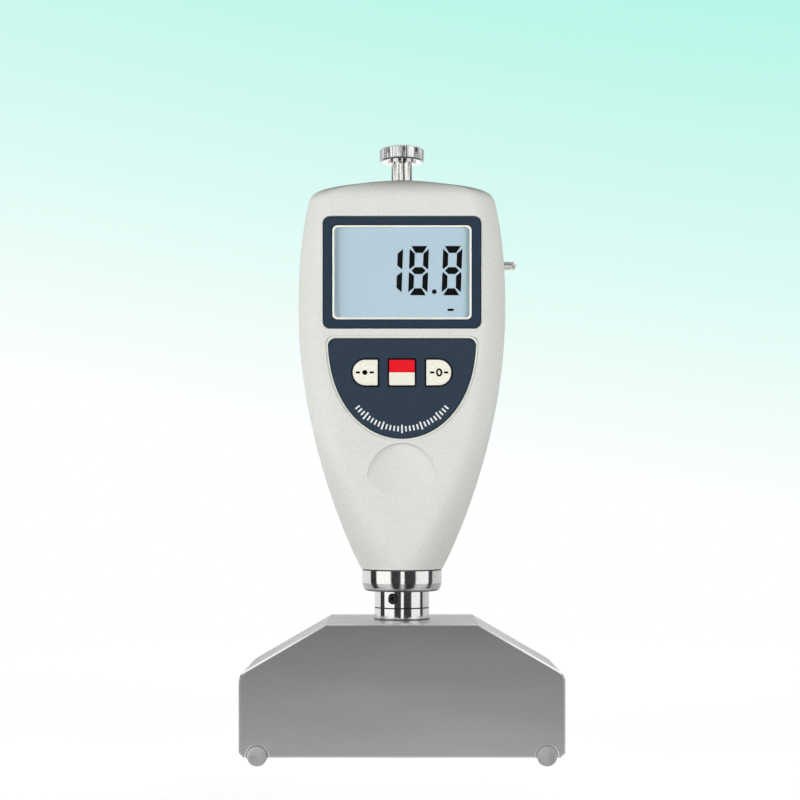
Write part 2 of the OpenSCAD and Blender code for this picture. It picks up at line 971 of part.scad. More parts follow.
module clamp_knob() {
    r = knob_dia / 2;
    z = washer_z + washer_t;
    color("#a9abad")
    translate([0, 0, z])
        difference() {
            intersection() {
                linear_extrude(knob_h)
                    polygon([
                        for (i = [0:2 * knob_ridges - 1])
                            let (a = 180 * i / knob_ridges)
                            (i % 2 == 0 ? r : r - 0.45) * [cos(a), sin(a)]
                    ]);
                rotate_extrude()
                    polygon([
                        [0, 0], [r - 0.4, 0], [r + 0.1, 0.5], [r + 0.1, knob_h - 0.5],
                        [r - 0.4, knob_h], [0, knob_h]
                    ]);
            }
            translate([0, 0, -over])
                cylinder(r = post_dia / 2 + run_gap, h = knob_h + 2 * over);
        }
}

// Collar and barrel

module collar() {
    r = collar_dia / 2;
    color("#c8cacc")
    translate([0, 0, collar_z])
        rotate_extrude()
            polygon([
                [neck_dia / 2 + seat_gap, 0], [r - 1, 0], [r - 0.75, 0.3], [r, 3],
                [r, collar_h - 0.2], [r - 0.2, collar_h], [neck_dia / 2 + seat_gap, collar_h]
            ]);
}

flange_r = 10.4;
flange_h = 2;
barrel_r = chamber_dia / 2 + 1.8;
socket_r = spigot_dia / 2 + run_gap;
socket_h = neck_h;
bush_r = 4;
bush_h = 6.4;
chamber_z = joint_z + socket_h + bush_h + 2;
seat_t = 2;
spring_z = chamber_z + foot_drop + 2 + seat_t;
plug_z = spring_z + spring_h;
plug_h = 5;
barrel_top = plug_z + plug_h + 2;
module sensor_barrel() {
    color("#c0c2c4")
    difference() {
        union() {
            translate([0, 0, joint_z])
                cylinder(r = neck_dia / 2, h = floor_z + air + flange_h / 2 - joint_z);
            translate([0, 0, floor_z + air])
                cylinder(r = flange_r, h = flange_h);
            translate([0, 0, floor_z])
                cylinder(r = barrel_r, h = barrel_top - floor_z);
        }
        translate([0, 0, joint_z - over])
            cylinder(r = socket_r, h = socket_h + over);
        translate([0, 0, joint_z])
            cylinder(r = bush_r + seat_gap, h = socket_h + bush_h);
        translate([0, 0, joint_z])
            cylinder(r = spindle_dia / 2 + 0.6, h = chamber_z - joint_z + over);
        translate([0, 0, chamber_z])
            cylinder(r = chamber_dia / 2, h = barrel_top - chamber_z + over);
        grub_place()
            translate([0, 0, 2])
                cylinder(r = grub_dia / 2 + seat_gap, h = neck_dia);
    }
}

// Axis of the grub screw: local +Z points out of the neck
module grub_place() {
    translate([0, 0, joint_z + grub_up])
        rotate([0, 0, -grub_angle])
            rotate([90, 0, 0])
                children();
}

groove_deep = 0.9;
module grub_screw() {
    tip = spigot_dia / 2 - groove_deep + air;
    end = neck_dia / 2 - 0.3;
    color("#5a5c60")
    grub_place()
        difference() {
            translate([0, 0, tip])
                cylinder(r = grub_dia / 2, h = end - tip);
            translate([0, 0, end - 1])
                cylinder(r = 0.75, h = 2, $fn = 6);
        }
}

module neck_adapter() {
    r = neck_dia / 2;
    s = spigot_dia / 2;
    g = grub_dia / 2 + 0.2;
    mid = adapter_h + grub_up;
    color("#c0c2c4")
    translate([0, 0, block_top])
        rotate_extrude()
            polygon([
                [spindle_dia / 2 + 0.6, -adapter_root], [root_r, -adapter_root], [root_r, 0],
                [r + 0.15, 0], [r + 0.15, 0.4], [r, 0.5], [r, adapter_h - 0.15], [r - 0.15, adapter_h],
                [s, adapter_h], [s, mid - g], [s - groove_deep, mid - g],
                [s - groove_deep, mid + g], [s, mid + g], [s, adapter_h + neck_h - 0.3],
                [s - 0.3, adapter_h + neck_h - air], [spindle_dia / 2 + 0.6, adapter_h + neck_h - air]
            ]);
}
adapter_root = 10;
root_r = 6;

module bush(z) {
    color("#b08d4a")
    translate([0, 0, z])
        difference() {
            cylinder(r = bush_r, h = bush_h);
            translate([0, 0, -over])
                cylinder(r = spindle_dia / 2 + run_gap, h = bush_h + 2 * over);
        }
}

module upper_bush() {
    bush(joint_z + socket_h);
}

module lower_bush() {
    bush(block_top - adapter_root - bush_h);
}

module spring_plug() {
    color("#9a9c9f")
    translate([0, 0, plug_z])
        difference() {
            cylinder(r = chamber_dia / 2 - seat_gap, h = plug_h);
            translate([0, 0, -over])
                cylinder(r = spindle_dia / 2 + 0.4, h = plug_h + 2 * over);
            translate([-chamber_dia, -0.6, plug_h - 1])
                cube([2 * chamber_dia, 1.2, 2]);
        }
}

module measuring_spring() {
    color("#7c7f84")
    coil(chamber_dia / 2 - 0.3 - spring_wire, spring_wire, spring_turns, spring_z, plug_z, 16, 6);
}

// Moving spindle group

foot_z = 0.1 + foot_dia / 2;
spindle_low = foot_z + foot_dia / 2;
core_len = 12;
core_z = barrel_top + 1;
module measuring_spindle() {
    color("#b6b9bc")
    translate([0, 0, spindle_low])
        cylinder(r = spindle_dia / 2, h = core_z - spindle_low);
}

// Collar clamped on the spindle, under the spring
module spring_seat() {
    color("#9a9c9f")
    translate([0, 0, spring_z - seat_t])
        difference() {
            cylinder(r = chamber_dia / 2 - 0.4, h = seat_t);
            translate([0, 0, -over])
                cylinder(r = spindle_dia / 2 + seat_gap, h = seat_t + 2 * over);
        }
}

nut_flats = 7;
module foot_lock_nut() {
    color("#8f9296")
    translate([0, 0, foot_z + foot_dia / 2 + 1.6])
        difference() {
            cylinder(r = nut_flats / 2 / cos(30), h = 2.2, $fn = 6);
            translate([0, 0, -over])
                cylinder(r = spindle_dia / 2 + seat_gap, h = 2.2 + 2 * over);
        }
}

module measuring_foot() {
    r = foot_dia / 2;
    color("#a8abae")
    difference() {
        union() {
            translate([0, 0, foot_z])
                rod_y(r, -foot_len / 2, foot_len / 2);
            translate([0, 0, foot_z])
                cylinder(r = spindle_dia / 2 + 1, h = r + 1.6);
        }
        translate([0, 0, spindle_low])
            cylinder(r = spindle_dia / 2 + seat_gap, h = foot_dia);
    }
}

module sensor_core() {
    color("#4a4a4e")
    translate([0, 0, core_z])
        cylinder(r = spindle_dia / 2 + 0.1, h = core_len);
}

bobbin_z = barrel_top;
hub_r = spindle_dia / 2 + 1.3;
bobbin_r = 6.2;
cheek_t = 1.4;
module coil_bobbin() {
    color("#e4dfd0")
    translate([0, 0, bobbin_z])
        rotate_extrude()
            polygon([
                [spindle_dia / 2 + 0.6, 0], [bobbin_r, 0], [bobbin_r, cheek_t], [hub_r, cheek_t],
                [hub_r, coil_len - cheek_t], [bobbin_r, coil_len - cheek_t], [bobbin_r, coil_len],
                [spindle_dia / 2 + 0.6, coil_len]
            ]);
}

module coil_winding() {
    color("#b5651d")
    translate([0, 0, bobbin_z + cheek_t + seat_gap])
        difference() {
            cylinder(r = bobbin_r - 0.6, h = coil_len - 2 * cheek_t - 2 * seat_gap);
            translate([0, 0, -over])
                cylinder(r = hub_r + seat_gap, h = coil_len);
        }
}

// Lead from the coil up to the back of the board
module sensor_lead() {
    z = bobbin_z + coil_len - cheek_t / 2;
    x = -bobbin_r;
    color("#3a6ea8")
    wire([
        [x, 0, z],
        [x - 1.5, 0, z],
        [x - 3, -1, z + 0.8],
        [x - 4, -3, z + 1.6],
        [x - 4, -5, z + 2],
        [x - 4, board_back, z + 2]
    ], 0.5);
}

// Base block

rod_spacing = block_w - 2 * rod_inset;
foot_cut = 1.4;

// Corner points of the block, counterclockwise from the lower right
BLOCK = [
    [block_w / 2 - foot_cut, block_low],
    [block_w / 2, block_low + foot_cut],
    [block_w / 2, rod_z + block_side_h],
    [block_top_w / 2, block_top],
    [-block_top_w / 2, block_top],
    [-block_w / 2, rod_z + block_side_h],
    [-block_w / 2, block_low + foot_cut],
    [-block_w / 2 + foot_cut, block_low]
];
BLOCK_R = [0, 0, block_corner_r, 0, 0, block_corner_r, 0, 0];

// Outward normal of the edge that leaves point i
function edge_normal(pts, i) =
    let (d = pts[(i + 1) % len(pts)] - pts[i])
    [d.y, -d.x] / norm(d);

// Outline moved inward by t, with its corners rounded
function inset_corners(pts, radii, t, steps) = [
    for (i = [0:len(pts) - 1])
        let (
            a = edge_normal(pts, (i + len(pts) - 1) % len(pts)),
            b = edge_normal(pts, i),
            k = (a + b) / (1 + a * b),
            c = pts[i] - radii[i] * k
        )
        each radii[i] == 0
            ? [pts[i] - t * k]
            : [for (j = [0:steps]) let (n = a + (b - a) * j / steps) c + (radii[i] - t) * n / norm(n)]
];

module bevelled_block() {
    end = block_d / 2;
    stack([
        for (y = [
            [end, block_bevel], [end - block_bevel, 0],
            [block_bevel - end, 0], [-end, block_bevel]
        ])
            [for (p = inset_corners(BLOCK, BLOCK_R, y[1], 6)) [p.x, y[0], p.y]]
    ]);
}

recess_r = 7.5;
recess_h = 9.5;
groove_r = rod_dia / 2 + 0.05;
groove_flare = 0.5;
module base_block() {
    flare = groove_flare + over;
    color("#a2a3a4")
    difference() {
        bevelled_block();
        for (s = [-1, 1])
            translate([s * rod_spacing / 2, 0, rod_z]) {
                rod_y(groove_r, -block_d, block_d);
                for (m = [0, 1])
                    mirror([0, m, 0])
                        translate([0, block_d / 2 - groove_flare, 0])
                            rotate([-90, 0, 0])
                                cylinder(r1 = groove_r, r2 = groove_r + flare, h = flare);
            }
        translate([0, 0, -over])
            cylinder(r = recess_r, h = rod_z + recess_h + over);
        cylinder(r = spindle_dia / 2 + 0.6, h = block_top);
        translate([0, 0, block_top - adapter_root - bush_h])
            cylinder(r = bush_r + seat_gap, h = block_h);
        translate([0, 0, block_top - adapter_root])
            cylinder(r = root_r + seat_gap, h = block_h);
    }
}

module ground_rod(side) {
    r = rod_dia / 2;
    end = block_d / 2;
    edge = 0.3;
    color("#b4b6b8")
    translate([side * rod_spacing / 2, 0, rod_z])
        rotate([90, 0, 0])
            rotate_extrude()
                polygon([
                    [0, -end], [r - edge, -end], [r, edge - end],
                    [r, end - edge], [r - edge, end], [0, end]
                ]);
}

module left_rod() {
    ground_rod(-1);
}

module right_rod() {
    ground_rod(1);
}

front_shell();
rear_shell();
battery_door();
housing_screws();
display_bezel();
display_lens();
lcd_panel();
lcd_frame();
keypad_label();
left_key();
middle_key();
right_key();
circuit_board();
board_screws();
key_switches();
board_chips();
battery_cells();
battery_contacts();
battery_springs();
battery_lead();
strap_post();
stand_post();
clamp_washer();
clamp_knob();
collar();
sensor_barrel();
upper_bush();
lower_bush();
spring_plug();
measuring_spring();
measuring_spindle();
spring_seat();
foot_lock_nut();
measuring_foot();
sensor_core();
coil_bobbin();
coil_winding();
sensor_lead();
neck_adapter();
grub_screw();
base_block();
left_rod();
right_rod();
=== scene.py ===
import math
import bmesh
import bpy
from mathutils import Matrix, Vector


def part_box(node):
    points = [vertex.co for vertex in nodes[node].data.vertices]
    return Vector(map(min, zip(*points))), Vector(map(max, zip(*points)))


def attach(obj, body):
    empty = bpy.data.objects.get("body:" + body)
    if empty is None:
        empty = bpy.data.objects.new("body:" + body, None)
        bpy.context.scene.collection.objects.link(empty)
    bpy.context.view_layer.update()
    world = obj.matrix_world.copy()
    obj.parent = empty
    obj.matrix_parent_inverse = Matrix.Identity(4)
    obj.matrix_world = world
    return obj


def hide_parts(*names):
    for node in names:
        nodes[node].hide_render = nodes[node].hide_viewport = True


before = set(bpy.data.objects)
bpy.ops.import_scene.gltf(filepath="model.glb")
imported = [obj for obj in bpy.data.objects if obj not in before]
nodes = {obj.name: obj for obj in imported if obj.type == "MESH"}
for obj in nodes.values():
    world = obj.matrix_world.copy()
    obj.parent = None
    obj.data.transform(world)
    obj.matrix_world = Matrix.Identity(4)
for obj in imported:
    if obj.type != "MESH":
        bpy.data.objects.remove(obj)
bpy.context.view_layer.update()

# Lengths in this script are millimetres. MM turns them into the frame's metres.
MM = 0.001
scene = bpy.context.scene


def box(node):
    """Lowest and highest corner of a CAD node, in millimetres."""
    low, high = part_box(node)
    return low / MM, high / MM


# Sizes read from the frame
SHELL_LOW, SHELL_HIGH = box("front_shell")
COLLAR_LOW, COLLAR_HIGH = box("collar")
BEZEL_LOW, BEZEL_HIGH = box("display_bezel")
LENS_LOW = box("display_lens")[0]
LCD_LOW, LCD_HIGH = box("lcd_panel")
LABEL_LOW, LABEL_HIGH = box("keypad_label")
CASE_LOW, CASE_HIGH = box("battery_contacts")
KNOB_LOW, KNOB_HIGH = box("clamp_knob")
WASHER_LOW, WASHER_HIGH = box("clamp_washer")
POST_LOW, POST_HIGH = box("stand_post")
ADAPTER_LOW, ADAPTER_HIGH = box("neck_adapter")
BARREL_LOW, BARREL_HIGH = box("sensor_barrel")
BLOCK_LOW, BLOCK_HIGH = box("base_block")
ROD_LOW, ROD_HIGH = box("right_rod")
STRAP_LOW, STRAP_HIGH = box("strap_post")
KEY_LOW, KEY_HIGH = box("middle_key")

# Gaps, as in the CAD model
SET_GAP = 0.15
RUN_GAP = 0.03
SEAT_GAP = 0.02
AIR = 0.1


# Mesh helpers

def link(name, mesh, body=None):
    obj = bpy.data.objects.new(name, mesh)
    scene.collection.objects.link(obj)
    if body:
        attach(obj, body)
    return obj


def mesh_from(name, verts, faces):
    mesh = bpy.data.meshes.new(name)
    mesh.from_pydata([Vector(v) * MM for v in verts], [], faces)
    mesh.update()
    return mesh


def apply_modifiers(obj):
    depsgraph = bpy.context.evaluated_depsgraph_get()
    mesh = bpy.data.meshes.new_from_object(obj.evaluated_get(depsgraph))
    obj.modifiers.clear()
    old = obj.data
    obj.data = mesh
    bpy.data.meshes.remove(old)


def settle(obj, bevel=0.0, angle=35, segments=2, sharp=40):
    """Rounds the edges that are steeper than angle and evens the normals."""
    if bevel:
        mod = obj.modifiers.new("edge", "BEVEL")
        mod.width = bevel * MM
        mod.segments = segments
        mod.limit_method = "ANGLE"
        mod.angle_limit = math.radians(angle)
        mod.use_clamp_overlap = True
        mod.miter_outer = "MITER_ARC"
        apply_modifiers(obj)
    mesh = obj.data
    mesh.polygons.foreach_set("use_smooth", [True] * len(mesh.polygons))
    mesh.set_sharp_from_angle(angle=math.radians(sharp))
    even = obj.modifiers.new("normals", "WEIGHTED_NORMAL")
    even.keep_sharp = True
    mesh.update()


def boolean(obj, cutter, operation):
    """Cuts or joins cutter, which is then deleted."""
    mod = obj.modifiers.new("boolean", "BOOLEAN")
    mod.operation = operation
    mod.solver = "EXACT"
    mod.object = cutter
    apply_modifiers(obj)
    bpy.data.objects.remove(cutter)


def cut(obj, *cutters):
    for cutter in cutters:
        boolean(obj, cutter, "DIFFERENCE")
    return obj


def unite(obj, *others):
    for other in others:
        boolean(obj, other, "UNION")
    return obj


def joined(name, objs, body=None):
    """One object from several that don't overlap."""
    bm = bmesh.new()
    for obj in objs:
        bm.from_mesh(obj.data)
        bpy.data.objects.remove(obj)
    mesh = bpy.data.meshes.new(name)
    bm.to_mesh(mesh)
    bm.free()
    return link(name, mesh, body)


def outward(mesh):
    """Turns the faces outward."""
    bm = bmesh.new()
    bm.from_mesh(mesh)
    bmesh.ops.recalc_face_normals(bm, faces=bm.faces)
    bm.to_mesh(mesh)
    bm.free()
    return mesh


def closed_stack(name, rings, body=None):
    """Closed solid through rings of equally many points."""
    n = len(rings[0])
    verts = [p for ring in rings for p in ring]
    faces = []
    for j in range(len(rings) - 1):
        for i in range(n):
            k = (i + 1) % n
            faces.append((j * n + i, j * n + k, (j + 1) * n + k, (j + 1) * n + i))
    faces.append(tuple(range(n - 1, -1, -1)))
    faces.append(tuple((len(rings) - 1) * n + i for i in range(n)))
    return link(name, outward(mesh_from(name, verts, faces)), body)


def prism_y(name, outline, y0, y1, body=None):
    """Plate standing in the XZ plane, with outline as (x, z) points."""
    return closed_stack(name, [[(x, y, z) for x, z in outline] for y in (y0, y1)], body)


def plates(outlines, y0, y1, name="plates", body=None):
    """One object of several plates that don't overlap."""
    return joined(name, [prism_y("plate", outline, y0, y1) for outline in outlines], body)


def box_between(name, a, b):
    """Square-edged bar from corner a to corner b."""
    return prism_y(name, [(a[0], a[2]), (b[0], a[2]), (b[0], b[2]), (a[0], b[2])], a[1], b[1])


def ring_prism(name, outer, inner, y0, y1, body=None):
    """Frame between two outlines with equally many points."""
    n = len(outer)
    verts = [(x, y, z) for y in (y0, y1) for loop in (outer, inner) for x, z in loop]
    faces = []
    for i in range(n):
        k = (i + 1) % n
        for a, b in ((0, n), (3 * n, 2 * n), (2 * n, 0), (n, 3 * n)):
            faces.append((a + i, a + k, b + k, b + i))
    return link(name, outward(mesh_from(name, verts, faces)), body)


TO_X = Matrix.Rotation(math.radians(90), 4, "Y")
TO_Y = Matrix.Rotation(math.radians(-90), 4, "X")


def lathe(name, profile, body=None, segments=128, turn=None, centre=(0, 0, 0), wave=None):
    """Solid of revolution about local Z from a closed profile of (radius, height) points."""
    verts = []
    index = []
    for r, h in profile:
        row = []
        for k in range(1 if r < 1e-9 else segments):
            a = 2 * math.pi * k / segments
            rr = wave(r, a) if wave else r
            row.append(len(verts))
            verts.append((rr * math.cos(a), rr * math.sin(a), h))
        index.append(row)
    faces = []
    for i, a in enumerate(index):
        b = index[(i + 1) % len(index)]
        if len(a) == 1 and len(b) == 1:
            continue
        for k in range(segments):
            m = (k + 1) % segments
            face = (a[k % len(a)], a[m % len(a)], b[m % len(b)], b[k % len(b)])
            faces.append(tuple(dict.fromkeys(face)))
    mesh = outward(mesh_from(name, verts, faces))
    mesh.transform(Matrix.Translation(Vector(centre) * MM) @ (turn or Matrix.Identity(4)))
    return link(name, mesh, body)


def rod(name, r, low, high, segments=64, turn=None, centre=(0, 0, 0)):
    return lathe(name, [(0, low), (r, low), (r, high), (0, high)], None, segments, turn, centre)


# Outlines in the XZ plane

def round_rect(cx, cz, w, h, r, steps=8):
    points = []
    for sx, sz, start in ((1, 1, 0), (-1, 1, 90), (-1, -1, 180), (1, -1, 270)):
        for i in range(steps + 1):
            a = math.radians(start + 90 * i / steps)
            x = cx + sx * (w / 2 - r) + r * math.cos(a)
            points.append((x, cz + sz * (h / 2 - r) + r * math.sin(a)))
    return points


def ellipse(cx, cz, rx, rz, steps=32):
    angles = [2 * math.pi * i / steps for i in range(steps)]
    return [(cx + rx * math.cos(a), cz + rz * math.sin(a)) for a in angles]


def circle(cx, cz, r, steps=48):
    return ellipse(cx, cz, r, r, steps)


def d_shape(cx, cz, size, side):
    """Key outline with its round side away from the middle key."""
    steps = 24
    r = size / 2
    flat = r - 0.2
    angles = [math.radians(-90 + 180 * i / steps) for i in range(steps + 1)]
    points = [(cx + side * r * math.cos(a), cz + r * math.sin(a)) for a in angles]
    return points + [(cx - side * flat, cz + r), (cx - side * flat, cz - r)]


LABEL_FALL = 2.25
LABEL_SPREAD = 2.0
LABEL_CORNER = 2.4


def label_outline(grow=0.0):
    """Shield with a full top, grown by grow."""
    a = (LABEL_HIGH.x - LABEL_LOW.x) / 2 + grow
    b = LABEL_HIGH.z - LABEL_LOW.z + grow
    top = LABEL_HIGH.z
    right = []
    for i in range(9):
        t = math.radians(90 - 90 * i / 8)
        x = a - LABEL_CORNER + LABEL_CORNER * math.cos(t)
        right.append((x, top + grow - LABEL_CORNER * (1 - math.sin(t))))
    for i in range(49):
        u = math.sin(math.radians(90 * i / 48))
        if -b * u < -LABEL_CORNER - 0.5:
            x = a * max(0.0, 1 - u ** LABEL_FALL) ** (1 / LABEL_SPREAD)
            right.append((x, top - b * u))
    left = [(-x, z) for x, z in reversed(right) if x > 0.01]
    return right + left


# Housing form, from the same driving curves as the CAD shells

BASE_Z = SHELL_LOW.z
CROWN_Z = BASE_Z + 119.1
HALF_W = SHELL_HIGH.x
HALF_D = -SHELL_LOW.y
MOUTH_R = 12.6
BELLY_Z = BASE_Z + 79.7
SHOULDER_Z = CROWN_Z - 7.1
SHOULDER_X = 28.6
FLAT_Z = BASE_Z + 41
EDGE_R = 8
CROWN_R = 7
CROWN_X = 16.5
CROWN_FLAT = 5
CROWN_FALL = 1.5
WALL = 2.2
FLOOR = 3
LEAN = 0.24

LOW = (
    (MOUTH_R, BASE_Z),
    (MOUTH_R + 5.9, BASE_Z + 11.1),
    (HALF_W, BELLY_Z - 35),
    (HALF_W, BELLY_Z),
)
HIGH = (
    (HALF_W, BELLY_Z),
    (HALF_W, BELLY_Z + 14),
    (SHOULDER_X + 8 * LEAN, SHOULDER_Z - 8),
    (SHOULDER_X, SHOULDER_Z),
)
CORNER = (
    (SHOULDER_X, SHOULDER_Z),
    (SHOULDER_X - 3.2 * LEAN, SHOULDER_Z + 3.2),
    (SHOULDER_X - 1.9, CROWN_Z - 2.9),
    (CROWN_X, CROWN_Z - CROWN_FALL),
)


def on_curve(p, t):
    s = 1 - t
    weights = (s ** 3, 3 * s * s * t, 3 * s * t * t, t ** 3)
    return tuple(sum(w * q[i] for w, q in zip(weights, p)) for i in (0, 1))


def housing_outline(low, high, corner, crown):
    """Half widths and heights from the mouth to the crown."""
    points = [on_curve(LOW, i / low) for i in range(low)]
    points += [on_curve(HIGH, i / high) for i in range(high)]
    points += [on_curve(CORNER, i / corner) for i in range(corner)]
    for i in range(crown + 1):
        x = CROWN_X + (CROWN_FLAT - CROWN_X) * i / crown
        points.append((x, CROWN_Z - CROWN_FALL * (x / CROWN_X) ** 2))
    return points


def taper(z):
    return max(0.0, (FLAT_Z - z) / (FLAT_Z - BASE_Z))


def half_depth(z, inset=0.0):
    up = z - CROWN_Z + CROWN_R
    if up > 0:
        return HALF_D - CROWN_R + math.sqrt(max(0.0, (CROWN_R - inset) ** 2 - up * up))
    return HALF_D - inset - (HALF_D - MOUTH_R) * taper(z) ** 2


def half_ring(w, d, r, z, back, side, arc, across):
    """Ring of points through one half of the housing; side is -1 in front and 1 behind."""
    e = min(r, w - 0.3, d - 0.3)
    ring = [(w, back, z)]
    quarter = [math.radians(90 * i / arc) for i in range(arc + 1)]
    ring += [(w - e + e * math.cos(a), side * (d - e + e * math.sin(a)), z) for a in quarter]
    flat = w - e
    ring += [(flat - 2 * flat * i / across, side * d, z) for i in range(1, across)]
    ring += [(-(w - e + e * math.sin(a)), side * (d - e + e * math.cos(a)), z) for a in quarter]
    ring.append((-w, back, z))
    return ring


def half_solid(name, side, inset=0.0, back=0.0, arc=16, across=8, rings=(72, 26, 24, 10)):
    """One half of the housing as a closed solid, moved inward by inset."""
    points = housing_outline(*rings)
    stack = []
    for i, (x, z) in enumerate(points):
        a = points[max(0, i - 1)]
        b = points[min(len(points) - 1, i + 1)]
        length = math.hypot(b[0] - a[0], b[1] - a[1])
        nx, nz = (b[1] - a[1]) / length, -(b[0] - a[0]) / length
        z_in = z - inset * nz
        if inset and z_in < BASE_Z + FLOOR:
            continue
        radius = EDGE_R + (MOUTH_R - EDGE_R) * taper(z_in) - inset
        depth = half_depth(z_in, inset)
        stack.append(half_ring(x - inset * nx, depth, radius, z_in, back, side, arc, across))
    return closed_stack(name, stack)


def merge_flat(obj, y, z_from):
    """Merges the small faces of a flat face, so that cuts in it stay clean."""
    bm = bmesh.new()
    bm.from_mesh(obj.data)
    flat = [
        f for f in bm.faces
        if all(abs(v.co.y - y * MM) < 1e-7 and v.co.z > z_from * MM for v in f.verts)
    ]
    bmesh.ops.dissolve_faces(bm, faces=flat, use_verts=False)
    bm.to_mesh(obj.data)
    bm.free()


# Materials

def feed(tree, node, inputs):
    """Sets inputs of a node, to plain values or to what other nodes give."""
    for name, value in inputs.items():
        if isinstance(value, bpy.types.NodeSocket):
            tree.links.new(value, node.inputs[name])
        else:
            node.inputs[name].default_value = value


def add(tree, kind, inputs=None, **settings):
    node = tree.nodes.new(kind)
    for key, value in settings.items():
        setattr(node, key, value)
    feed(tree, node, inputs or {})
    return node


def principled(name, color, roughness, metallic=0.0, gloss=0.5):
    mat = bpy.data.materials.new(name)
    mat.use_nodes = True
    shader = mat.node_tree.nodes["Principled BSDF"]
    feed(mat.node_tree, shader, {
        "Base Color": (*color, 1.0),
        "Roughness": roughness,
        "Metallic": metallic,
        "Specular IOR Level": gloss,
    })
    return mat, shader


def srgb(r, g, b):
    """Linear colour from 0-255 screen values."""
    return tuple(
        c / 12.92 if c <= 0.04045 else ((c + 0.055) / 1.055) ** 2.4
        for c in (r / 255, g / 255, b / 255)
    )


def shaded(color, factor):
    return tuple(min(1.0, c * factor) for c in color)


def noise(mat, scale, detail, rough, stretch=(1, 1, 1)):
    """Noise over object coordinates, in features per metre."""
    tree = mat.node_tree
    coords = add(tree, "ShaderNodeTexCoord")
    mapping = add(tree, "ShaderNodeMapping", {"Vector": coords.outputs["Object"], "Scale": stretch})
    inputs = {"Vector": mapping.outputs["Vector"], "Scale": scale, "Detail": detail, "Roughness": rough}
    return add(tree, "ShaderNodeTexNoise", inputs).outputs["Fac"]


def span(tree, value, low, high):
    """0 at low and 1 at high."""
    inputs = {"Value": value, "From Min": low, "From Max": high}
    return add(tree, "ShaderNodeMapRange", inputs).outputs["Result"]


def height(mat, z0, z1):
    """0 at height z0 and 1 at height z1 of the object."""
    tree = mat.node_tree
    coords = add(tree, "ShaderNodeTexCoord")
    split = add(tree, "ShaderNodeSeparateXYZ", {"Vector": coords.outputs["Object"]})
    return span(tree, split.outputs["Z"], z0 * MM, z1 * MM)


def ramp(mat, source, stops, interpolation="LINEAR"):
    """Colour or level by stops of (source, value), on a material or on the world."""
    node = add(mat.node_tree, "ShaderNodeValToRGB", {"Fac": source})
    node.color_ramp.interpolation = interpolation
    elements = node.color_ramp.elements
    while len(elements) < len(stops):
        elements.new(0.5)
    for element, (pos, value) in zip(elements, stops):
        element.position = pos
        element.color = (*value, 1.0) if isinstance(value, tuple) else (value, value, value, 1.0)
    return node.outputs["Color"]


def multiply(mat, a, b):
    inputs = {"Factor": 1.0, "A": a, "B": b}
    mix = add(mat.node_tree, "ShaderNodeMix", inputs, data_type="RGBA", blend_type="MULTIPLY")
    return mix.outputs["Result"]


def bump(mat, shader, source, distance):
    """Relief of this depth in millimetres."""
    node = add(mat.node_tree, "ShaderNodeBump", {"Distance": distance * MM, "Height": source})
    feed(mat.node_tree, shader, {"Normal": node.outputs["Normal"]})


def paint(mat, shader, color, roughness=None):
    """Gives the shader a colour, and a roughness if there is one, that vary over the surface."""
    feed(mat.node_tree, shader, {"Base Color": color})
    if roughness is not None:
        feed(mat.node_tree, shader, {"Roughness": roughness})


def facing_up(mat):
    """How far a surface faces up, from 0 for straight down to 1 for straight up."""
    geometry = add(mat.node_tree, "ShaderNodeNewGeometry")
    split = add(mat.node_tree, "ShaderNodeSeparateXYZ", {0: geometry.outputs["Normal"]})
    return span(mat.node_tree, split.outputs["Z"], -1, 1)


def housing_plastic():
    """Warm pale-grey plastic with a fine sand texture, with painted shade where it faces up or down."""
    base = srgb(229, 231, 225)
    mat, shader = principled("housing_plastic", base, 0.5)
    grain = noise(mat, 2400, 2.0, 0.6)
    speck = ramp(mat, grain, [(0.3, shaded(base, 0.90)), (0.5, base), (0.72, shaded(base, 1.05))])
    tone = ramp(mat, noise(mat, 30, 2.0, 0.5), [(0.35, 0.97), (0.65, 1.0)])
    # Painted shade: turned darkens the colour where the surface faces up or down.
    turned = ramp(mat, facing_up(mat), [(0.2, 0.82), (0.42, 1.0), (0.62, 1.0), (0.88, 0.82)])
    shade = multiply(mat, multiply(mat, speck, tone), turned)
    paint(mat, shader, shade, ramp(mat, grain, [(0.3, 0.58), (0.7, 0.44)]))
    bump(mat, shader, grain, 0.02)
    return mat


def film(name, color, roughness, scale=900, depth=0.006, gloss=0.2):
    """Printed film with a very fine orange-peel surface."""
    mat, shader = principled(name, color, roughness, gloss=gloss)
    fine = noise(mat, scale, 3.0, 0.5)
    paint(mat, shader, ramp(mat, fine, [(0.35, shaded(color, 0.94)), (0.65, shaded(color, 1.05))]))
    bump(mat, shader, fine, depth)
    return mat


def moulded(name, color, roughness):
    """Moulded plastic with a light mottling."""
    return film(name, color, roughness, 1500, 0.008)


def split_key():
    """Key face that is red above its middle and cream below."""
    mat, shader = principled("key_red_and_cream", srgb(226, 28, 38), 0.36, gloss=0.2)
    half = height(mat, KEY_LOW.z, KEY_HIGH.z)
    face = ramp(mat, half, [(0.0, srgb(248, 245, 230)), (0.5, srgb(240, 24, 38))], "CONSTANT")
    fine = noise(mat, 1500, 3.0, 0.5)
    tone = ramp(mat, fine, [(0.3, 0.95), (0.7, 1.0)])
    paint(mat, shader, multiply(mat, face, tone))
    bump(mat, shader, fine, 0.008)
    return mat


